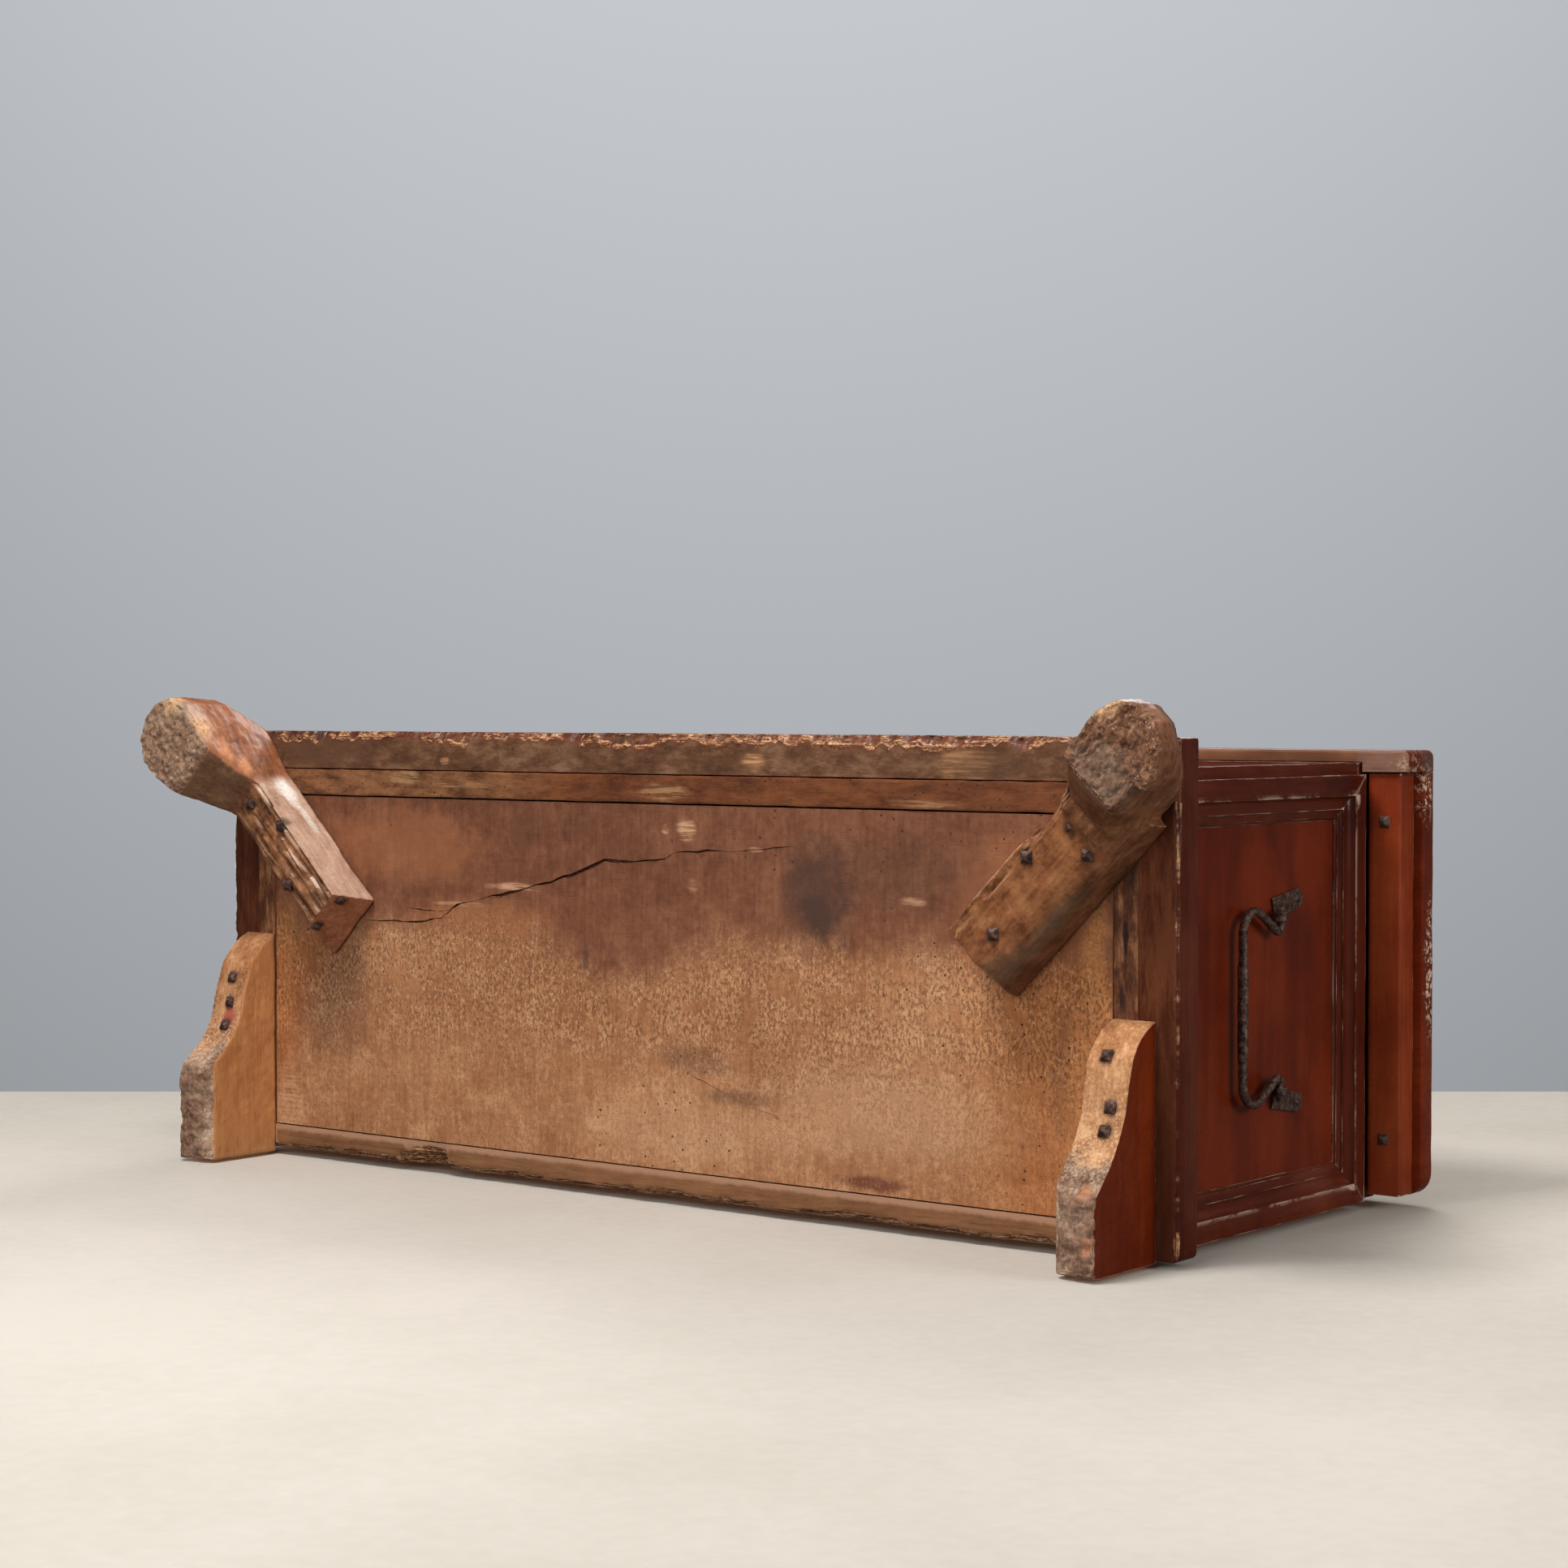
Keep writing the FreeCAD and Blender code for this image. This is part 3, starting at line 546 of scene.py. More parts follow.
def ease(piece, arris):
    """Eases the arrises, with a cut close beside each so that the wear stays by it."""
    for axis in range(3):
        sides = [vertex.co[axis] for vertex in piece.data.vertices]
        margin = min(0.0035, 0.3 * (max(sides) - min(sides)))
        cut_across(piece, axis, [min(sides) + margin, max(sides) - margin])
    apply_modifier(piece, "BEVEL", width=arris, segments=2, limit_method="ANGLE",
        angle_limit=math.radians(30))


def eased_board(node, axis, material, arris=0.0012, waver=0.0006, seed=1):
    """A board or moulding of the box: cut into lengths, its arrises eased and left slightly uneven."""
    piece = copy_of(node)
    cut_into_lengths(piece, axis, 0.02)
    ease(piece, arris)
    mark_wear(piece)
    carve(piece, wavering(waver, seed))
    finish_piece(piece, material, "chest", node)


# The bottom board.
# One wide bare plank under the chest, let in between the sides. It shows saw marks across the grain, a long
# split, dark stains, a painted shadow of the left front foot, a paler pitted half towards the back and worm
# holes.
def bottom_marks(wood):
    """The tones and stains underneath, a painted shadow of the left front foot, the pitted half, the pale
    scars and the worm holes.
    """
    place, broad = wood.place, wood.broad
    axes = axes_of(place)
    waver = times(calc("SUBTRACT", cloud(place, 9.0, 5.0), 0.5), 0.08)
    tongue = between(calc("ABSOLUTE", calc("ADD", axes["X"], 0.03)), 0.0, 0.16, 0.045, 0.0)
    edge = total((axes["Y"], 1.0), (waver, 1.0), (tongue, -1.0))
    rear_half = between(total((edge, 1.0), (cloud(place, 60.0, 5.0, 0.7), 0.05)), -0.012, 0.042)
    left_end = between(total((axes["X"], 1.0), (waver, 1.0), (axes["Y"], 0.57)), -0.5, -0.44)
    right_end = between(total((axes["X"], 1.0), (waver, 1.0)), 0.38, 0.5)
    under = facing(wood.normal, DOWN)
    mottle = cloud(place, 32.0, 5.0, 0.65, 0.4)
    upright = cloud(scaled(place, (1, 0.09, 1)), 190.0, 4.0, 0.65)
    spots = cloud(place, 140.0, 6.0, 0.75)
    tone = total((broad, 0.25), (mottle, 0.3), (upright, 0.2), (spots, 0.25))
    near_front = between(total((axes["Y"], 1.0), (waver, 0.8)), -0.17, -0.02)

    upper = ramp(tone, (0.4, 0.5, 0.6), (0.083, 0.029, 0.014), (0.136, 0.049, 0.024), (0.195, 0.077, 0.039))
    upper = mix(near_front, upper, ramp(tone, (0.4, 0.5, 0.6), (0.111, 0.036, 0.017), (0.166, 0.06, 0.029),
        (0.236, 0.098, 0.049)))
    pale = ramp(tone, (0.4, 0.5, 0.6), (0.235, 0.088, 0.034), (0.37, 0.16, 0.07), (0.52, 0.265, 0.13))
    warm = ramp(tone, (0.4, 0.6), (0.23, 0.071, 0.023), (0.495, 0.195, 0.067))
    lower = mix(right_end, pale, warm)
    lower = mix(left_end, warm, lower)
    colour = mix(rear_half, upper, lower)
    colour = patches_of(place, colour, (0.33, 0.12, 0.048),
        [(-0.36, -0.1, 0.16, 0.06, 0.45), (0.48, -0.06, 0.12, 0.1, 0.6), (-0.25, -0.02, 0.14, 0.03, 0.5)])
    # Dark stains, and one painted shadow: the wide patch at x -0.478, y 0.055 is the left front foot's
    # shadow cast on the board.
    colour = patches_of(place, colour, (0.06, 0.03, 0.021),
        [(0.222, -0.062, 0.06, 0.07, 0.75), (0.226, -0.048, 0.03, 0.03, 0.8),
        (0.33, -0.085, 0.16, 0.055, 0.25), (-0.478, 0.055, 0.09, 0.13, 0.32), (0.06, 0.115, 0.07, 0.02, 0.4),
        (0.12, 0.15, 0.07, 0.012, 0.45), (-0.09, 0.015, 0.006, 0.02, 0.6), (0.52, 0.1, 0.02, 0.09, 0.3)])
    colour = patches_of(place, colour, (0.12, 0.026, 0.015),
        [(0.29, 0.222, 0.055, 0.01, 0.8), (0.4, -0.03, 0.02, 0.012, 0.5)])
    colour = patches_of(place, colour, (0.6, 0.34, 0.185),
        [(0.051, -0.127, 0.016, 0.014, 0.7), (0.023, -0.126, 0.006, 0.006, 0.6),
        (-0.555, 0.205, 0.03, 0.05, 0.5), (-0.19, -0.058, 0.05, 0.006, 0.7),
        (0.145, -0.109, 0.012, 0.004, 0.8), (0.06, -0.068, 0.012, 0.01, 0.35),
        (0.345, -0.062, 0.02, 0.006, 0.5), (-0.27, -0.036, 0.06, 0.004, 0.4)], 0.85, ALONG_X)
    colour = patches_of(place, colour, (0.52, 0.215, 0.07),
        [(0.557, -0.01, 0.022, 0.1, 0.8), (0.54, 0.13, 0.035, 0.1, 0.45)], 0.55)
    colour = patches_of(place, colour, (0.58, 0.33, 0.185),
        [(0.3, 0.15, 0.2, 0.07, 0.45), (0.05, 0.19, 0.25, 0.04, 0.3)], 0.3)

    pit_zone = times(rear_half, between(total((axes["Y"], 1.0), (waver, 1.0)), 0.07, 0.16, 1.0, 0.4))
    pit_zone = times(pit_zone, between(mottle, 0.34, 0.52))
    tall = scaled(place, (1, 0.55, 1))
    pits = between(cloud(tall, 310.0, 4.0, 0.65), 0.5, 0.6)
    crumbs = between(cloud(tall, 400.0, 3.0, 0.6), 0.54, 0.66)
    pitted = times(pits, pit_zone)
    colour = mix(times(pitted, 0.6), colour, (0.135, 0.05, 0.022))
    colour = mix(times(times(crumbs, pit_zone), 0.55), colour, (0.66, 0.38, 0.21))
    holes = holes_in(place, 95.0, 0.13, 0.5)
    infested = calc("MAXIMUM", times(rear_half, right_end), between(broad, 0.54, 0.62))
    holed = times(holes, infested)
    colour = mix(times(holed, 0.85), colour, dirt)
    wood.colour = mix(under, wood.colour, colour)
    wood.height = total((wood.height, 1.0), (upright, 0.9), (pitted, -1.1), (holed, -3.0), (mottle, 1.0))


bottom_finish = old_wood("bare_bottom_board", ALONG_X, [DOWN, (0, 0, 1)], gloss=0.4, sheen=0.0,
    extra=bottom_marks)
split_line = [(-0.425, -0.0115), (-0.39, -0.0123), (-0.34, -0.0136), (-0.307, -0.0187), (-0.283, -0.0341),
    (-0.255, -0.0409), (-0.204, -0.0514), (-0.15, -0.0632), (-0.112, -0.073), (-0.063, -0.0912),
    (-0.034, -0.0907), (0.023, -0.0951), (0.037, -0.1019), (0.095, -0.1059), (0.145, -0.1079),
    (0.193, -0.1139)]
side_split = [(-0.36, -0.029), (-0.335, -0.0275), (-0.312, -0.0255), (-0.292, -0.029)]
rear_split = [(0.05, 0.126), (0.072, 0.1358), (0.141, 0.1571), (0.178, 0.1658)]
bottom = copy_of("bottom_board")
for axis in (0, 1):
    cut_into_lengths(bottom, axis, 0.015)
bottom_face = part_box("bottom_board")[0].z
for route, width in ((split_line, 0.003), (side_split, 0.0012), (rear_split, 0.0011)):
    path = []
    for step in range(4 * len(route) - 3):
        share = step % 4 / 4
        (x, y), (next_x, next_y) = route[step // 4], route[min(step // 4 + 1, len(route) - 1)]
        path.append((x * (1 - share) + next_x * share, y * (1 - share) + next_y * share))
    route = [(x, y + 0.0016 * rough((x, 0, 0), 55, 9)) for x, y in path]
    bpy.ops.object.select_all(action="DESELECT")
    bpy.ops.mesh.primitive_grid_add(x_subdivisions=len(route) - 1, y_subdivisions=1, size=1)
    wedge = bpy.context.active_object
    ordered = sorted(wedge.data.vertices, key=lambda v: (round(v.co.x, 6), v.co.y))
    for index, (x, y) in enumerate(route):
        half = width / 2 * math.sin(math.pi * (index + 0.35) / (len(route) - 0.3)) ** 0.5
        half *= max(0.2, 0.75 + 1.1 * rough((x, 0, 0), 28, 8))
        for vertex, edge in zip(ordered[2 * index:2 * index + 2], (-half, half)):
            vertex.co = (x, y + edge, bottom_face - 0.003)
    bpy.ops.object.mode_set(mode="EDIT")
    bpy.ops.mesh.select_all(action="SELECT")
    bpy.ops.mesh.extrude_region_move(TRANSFORM_OT_translate={"value": (0, 0, 0.01)})
    bpy.ops.mesh.select_all(action="SELECT")
    bpy.ops.mesh.normals_make_consistent(inside=False)
    bpy.ops.object.mode_set(mode="OBJECT")
    apply_modifier(bottom, "BOOLEAN", object=wedge, operation="DIFFERENCE", solver="EXACT")
    bpy.data.objects.remove(wedge)


def dished(co, normal):
    """The bottom board's lower face, hollowed here and there."""
    return Vector((0, 0, 0.0009 * max(0, 0.5 + rough(co, 14, 7)) * (normal.z < -0.7))), 0


carve(bottom, dished)
finish_piece(bottom, bottom_finish, "chest", "bottom_board")


# The four boards of the box.
# Polished outside and bare inside and along the lower edges; the back is bare all over and its lower
# rear arris has crumbled away, with a notch near the left end.
def front_edge_marks(wood):
    """The bare lower edge, browner to the left, with worm holes and pale scars."""
    place = wood.place
    under = facing(wood.normal, DOWN)
    tone = total((wood.broad, 0.25), (cloud(scaled(place, (0.3, 1, 1)), 90.0, 7.0, 0.75), 0.75))
    along = axes_of(place)["X"]
    left = ramp(tone, (0.4, 0.6), (0.075, 0.026, 0.01), (0.25, 0.105, 0.042))
    right = ramp(tone, (0.4, 0.6), (0.064, 0.017, 0.006), (0.162, 0.051, 0.017))
    colour = mix(between(along, -0.25, -0.1), left, right)
    holes = holes_in(place, 110.0, 0.13, 0.6)
    colour = mix(times(holes, 0.8), colour, dirt)
    colour = patches_of(place, colour, (0.48, 0.28, 0.13),
        [(-0.27, -0.168, 0.05, 0.004, 0.7), (-0.36, -0.176, 0.03, 0.012, 0.5),
        (0.02, -0.165, 0.05, 0.012, 0.45), (0.36, -0.16, 0.05, 0.006, 0.4)], 0.9, ALONG_X)
    wood.colour = mix(under, wood.colour, colour)


def side_edge_marks(wood):
    """The bare lower edge with dark stains, and glowing and dark places in the polish above."""
    place = wood.place
    under = facing(wood.normal, DOWN)
    tone = cloud(scaled(place, (1, 0.3, 1)), 80.0, 8.0, 0.75)
    colour = ramp(tone, (0.4, 0.5, 0.6), (0.07, 0.022, 0.009), (0.15, 0.052, 0.022), (0.3, 0.13, 0.055))
    colour = patches_of(place, colour, dirt, [(0.592, -0.036, 0.0045, 0.042, 0.95),
        (0.588, 0.02, 0.004, 0.02, 0.7), (0.6, -0.11, 0.012, 0.05, 0.5)])
    face_x = 0.606
    glowing = (-0.1, 0.44), (0.02, 0.3), (0.15, 0.47), (0.19, 0.25), (0.17, 0.36), (-0.08, 0.33)
    polished = patches_of(place, wood.colour, (0.17, 0.019, 0.003),
        [((face_x, y, z), (0.06, 0.07, 0.05), 0.6) for y, z in glowing])
    polished = patches_of(place, polished, (0.04, 0.006, 0.003),
        [((face_x, 0.03, 0.5), (0.06, 0.16, 0.035), 0.4), ((face_x, -0.02, 0.41), (0.06, 0.05, 0.05), 0.3)])
    wood.colour = mix(under, polished, colour)


front_finish = old_wood("front_board_walnut", ALONG_X, [DOWN, (0, 1, 0)], extra=front_edge_marks)
right_finish, left_finish = (
    old_wood(f"{end}_side_walnut", ALONG_Y, [DOWN, (-side, 0, 0), (0, 1, 0)],
        bare=((0.08, 0.028, 0.012), (0.23, 0.085, 0.035)), extra=side_edge_marks)
    for side, end in ((1, "right"), (-1, "left")))
back_finish = old_wood("bare_back_board", ALONG_X, [DOWN, (0, 1, 0), (0, -1, 0), (0, 0, 1)],
    gloss=0.42, bare=((0.11, 0.042, 0.017), (0.3, 0.135, 0.058)))
eased_board("front_board", 0, front_finish, waver=0.0008, seed=2)
eased_board("right_side_board", 2, right_finish, seed=3)
eased_board("left_side_board", 2, left_finish, seed=4)


def crumbled(co, normal):
    """The back board's lower rear arris, broken away by 2 to 9 mm, and its notch."""
    reach = 0.004 + 0.006 * max(0, min(1, 0.5 + rough(co, (18, 0, 0), 5)))
    if -0.37 < co.x < -0.299:
        reach += 0.01
    near = (co.z - back_low.z) + (back_high.y - co.y)
    worn = max(0, reach - near)
    bite = worn * (0.8 + 0.3 * rough(co, 90, 6))
    return Vector((0, -bite, bite)) * 0.6, min(1, worn * 260)


back_low, back_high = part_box("back_board")
back_board = copy_of("back_board")
cut_into_lengths(back_board, 0, 0.006)
cut_across(back_board, 2, [back_low.z + step * 0.003 for step in range(1, 6)])
cut_across(back_board, 1, [back_high.y - step * 0.003 for step in range(1, 6)])
carve(back_board, crumbled)
finish_piece(back_board, back_finish, "chest", "back_board")


# The moulded frames, the middle stile and the top rail.
# Lengths of walnut moulding mitred round the panels, waxed, with the light wood showing along their arrises.
def frame_marks(wood, along):
    """Pale lines worn along the arrises of the mouldings."""
    place = wood.place
    threads = cloud(scaled(place, along), 160.0, 6.0, 0.7)
    breaks = cloud(place, 26.0, 6.0, 0.75)
    line = between(total((threads, 0.5), (breaks, 0.5)), 0.47, 0.55)
    rubbed = times(line, between(wood.worn, 0.15, 0.27))
    wood.colour = mix(times(rubbed, 0.85), wood.colour, (0.56, 0.4, 0.31))


upright_frame, deep_frame, long_frame = (
    old_wood(f"{name}_frame_walnut", along, polish=dark_walnut, wear=1.3, gloss=0.2, sheen=0.12,
        extra=lambda wood: frame_marks(wood, along))
    for name, along in (("upright", ALONG_Z), ("deep", ALONG_Y), ("long", ALONG_X)))
seed = 10
for panel in ("right", "left", "front_right", "front_left"):
    level = (0, long_frame) if "front" in panel else (1, deep_frame)
    first, second = ("outer", "inner") if "front" in panel else ("rear", "front")
    for part, (axis, finish) in zip(("top", first, "bottom", second), (level, (2, upright_frame)) * 2):
        seed += 1
        eased_board(f"{panel}_frame_{part}", axis, finish, arris=0.0009, seed=seed)
eased_board("front_middle_stile", 2, upright_frame, arris=0.0009, seed=40)
eased_board("front_top_rail", 0, long_frame, arris=0.0009, seed=41)


# The lid.
# A wide board with a lipped strip glued along its front and a batten nailed under each end. The ends are
# rubbed pale towards the front and chipped along the upper arris.
def lid_marks(wood):
    """The bare underside and the pale crackled places near the front of each end."""
    place = wood.place
    crackle = between(cloud(place, 150.0, 5.0, 0.75), 0.5, 0.58)
    across_lid = axes_of(place)["X"]
    inside = between(calc("ABSOLUTE", across_lid), 0.6, 0.604, 1.0, 0.0)
    inside = times(inside, facing(wood.normal, DOWN))
    plain = ramp(wood.broad, (0.4, 0.6), (0.11, 0.04, 0.018), (0.24, 0.1, 0.046))
    colour = mix(inside, wood.colour, plain)
    for end_x in (0.661, -0.661):
        for y, z, reach, strength in ((-0.168, 0.588, (0.02, 0.045, 0.014), 0.95),
                (0.02, 0.594, (0.02, 0.09, 0.012), 1.0), (-0.195, 0.57, (0.03, 0.016, 0.05), 0.45)):
            mask = times(times(spot(place, (end_x, y, z), reach, 1.2), crackle), strength)
            colour = mix(mask, colour, (0.62, 0.43, 0.3))
        corner = (math.copysign(0.663, end_x), -0.199, 0.592)
        colour = patches_of(place, colour, (0.085, 0.05, 0.04), [(corner, (0.012, 0.02, 0.026), 0.85)], 0.3)
    wood.colour = colour


def chipped(top, seed):
    """Shape of a board whose upper arris is chipped, the rest only a little uneven."""
    lid_low, lid_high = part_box("lid_front_strip")[0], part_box("lid_board")[1]

    def shape(co, normal):
        from_rim = min(lid_high.x - abs(co.x), co.y - lid_low.y, lid_high.y - co.y)
        near_top = max(0, 1 - (top - co.z) / 0.007) * max(0, 1 - from_rim / 0.014)
        chip = max(0, rough(co, 75, seed)) * near_top
        return normal * (-0.0042 * chip - 0.0003 * max(0, 0.5 + rough(co, 12, seed))), min(0.8, 2.2 * chip)
    return shape


lid_finish = old_wood("lid_walnut", ALONG_X, gloss=0.28, extra=lid_marks)
strip_finish = old_wood("lid_strip_walnut", ALONG_X, [DOWN], gloss=0.28, extra=lid_marks,
    bare=((0.12, 0.052, 0.032), (0.25, 0.128, 0.086)))
batten_finish = old_wood("batten_walnut", ALONG_Y, gloss=0.26, wear=1.3,
    polish=((0.098, 0.0135, 0.0048), (0.188, 0.0275, 0.0078), (0.31, 0.06, 0.016)),
    extra=lambda wood: frame_marks(wood, ALONG_Y))
for number, node in enumerate(("lid_board", "lid_front_strip", "lid_batten_right", "lid_batten_left")):
    piece = copy_of(node)
    cut_into_lengths(piece, 1 if "batten" in node else 0, 0.012)
    if node == "lid_board":
        cut_into_lengths(piece, 1, 0.008)
    if "batten" not in node:
        cut_across(piece, 2, [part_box(node)[1].z - step * 0.003 for step in (1, 2, 3)])
    ease(piece, 0.0012)
    mark_wear(piece)
    carve(piece, chipped(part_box(node)[1].z, 50 + number))
    finish = batten_finish if "batten" in node else lid_finish if node == "lid_board" else strip_finish
    finish_piece(piece, finish, "lid", node)


# The base mouldings.
# Walnut lengths round the foot of the box, polished outside. The front one is weathered grey-brown
# underneath, and its lower outer arris is torn away in pale splinters; the side ones are only chipped.
def moulding_marks(wood):
    """The weathered underside of the front moulding."""
    place = wood.place
    under = facing(wood.normal, DOWN, 0.7, 0.93)
    tone = total((wood.broad, 0.25), (cloud(scaled(place, (0.5, 1, 1)), 60.0, 8.0, 0.75), 0.75))
    grey = ramp(tone, (0.38, 0.5, 0.62), (0.056, 0.024, 0.013), (0.112, 0.05, 0.026), (0.195, 0.1, 0.056))
    holes = holes_in(place, 90.0, 0.1, 0.35)
    grey = mix(times(holes, 0.85), grey, dirt)
    grey = patches_of(place, grey, (0.52, 0.26, 0.115),
        [(0.145, -0.199, 0.022, 0.012, 0.8), (0.409, -0.2, 0.05, 0.02, 0.45),
        (-0.3, -0.195, 0.01, 0.006, 0.5)], 0.75, ALONG_X)
    grey = patches_of(place, grey, (0.095, 0.045, 0.026),
        [(-0.5, -0.205, 0.09, 0.03, 0.8), (0.44, -0.2, 0.06, 0.02, 0.5)])
    clean = inverse(calc("MINIMUM", times(wood.torn, 2.5), 1.0))
    wood.colour = mix(times(under, clean), wood.colour, grey)


def side_moulding_marks(wood):
    """The dark underside of a side moulding."""
    place = wood.place
    under = facing(wood.normal, DOWN, 0.85, 0.97)
    tone = total((wood.broad, 0.4), (cloud(scaled(place, (1, 0.2, 1)), 90.0, 7.0, 0.75), 0.6))
    brown = ramp(tone, (0.4, 0.5, 0.6), (0.042, 0.0105, 0.005), (0.075, 0.02, 0.009), (0.14, 0.042, 0.018))
    low = between(axes_of(place)["Y"], 0.0, 0.12)
    brown = mix(times(low, 0.6), brown, (0.045, 0.012, 0.006))
    wood.colour = mix(times(under, inverse(wood.torn)), wood.colour, brown)


def chewed(node, deepest, seed):
    """Shape of a base moulding whose lower outer arris has broken away by up to the deepest reach."""
    low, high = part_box(node)
    ends_x = node.endswith("front")

    def shape(co, normal):
        outward = co.y - low.y if ends_x else (high.x - co.x if node.endswith("right") else co.x - low.x)
        run = co.x if ends_x else co.y
        ragged = 0.55 * rough((run, 0, 0), 9, seed) + 0.35 * rough((run, 0, 0), 60, seed + 1)
        reach = deepest * max(0.25, min(1, 0.62 + ragged))
        height = co.z - low.z
        broken = max(0, reach - outward - height * 1.1)
        fray = 1 + 0.5 * rough(co, (70, 160, 160), seed + 2)
        edge = max(0, 1 - abs(reach - outward - height - 0.003) / 0.0055)
        worst = 0.3 if ends_x and 0 < run < 0.45 else 0
        edge *= max(0, min(1, 0.62 + 0.9 * rough((run, 0, 0), 30, seed + 4) + worst))
        edge *= broken > 0 or height < 0.004
        lift = Vector((0, 0, broken * 0.62 * fray))
        return lift - normal * 0.0004 * max(0, 0.5 + rough(co, 30, seed + 3)), edge
    return shape


front_moulding_finish = old_wood("front_moulding_walnut", ALONG_X, polish=brown_walnut, extra=moulding_marks)
side_moulding_finish = old_wood("side_moulding_walnut", ALONG_Y, wear=0.6, gloss=0.22, sheen=0.12,
    polish=((0.026, 0.0037, 0.0017), (0.062, 0.0098, 0.0037), (0.115, 0.026, 0.0115)),
    extra=side_moulding_marks)
for end, voxel, deepest, finish, seed in (("front", 0.0024, 0.017, front_moulding_finish, 60),
        ("right", 0.002, 0.006, side_moulding_finish, 64), ("left", 0.002, 0.007, side_moulding_finish, 68)):
    node = f"base_moulding_{end}"
    moulding = copy_of(node)
    apply_modifier(moulding, "REMESH", mode="VOXEL", voxel_size=voxel)
    carve(moulding, chewed(node, deepest, seed))
    finish_piece(moulding, finish, "chest", node, 50)


# The front feet.
# Heavy bars hewn by hand and set slantwise under the corners, each with a round toe. The pads show rough
# end grain. The left bar has torn away underneath in long splinters and its front side is rubbed pale and
# glossy, with a painted highlight near the toe; the right one is smoother and darker.
DIAGONAL = math.sqrt(0.5)
foot_origin = Vector((0.442, -0.002227))


def own_place(side, co):
    """A place in a front foot's own axes: out to the corner, towards the chest's end, up."""
    x, y = side * co.x - foot_origin.x, co.y - foot_origin.y
    return Vector(((x - y) * DIAGONAL, (x + y) * DIAGONAL, co.z))


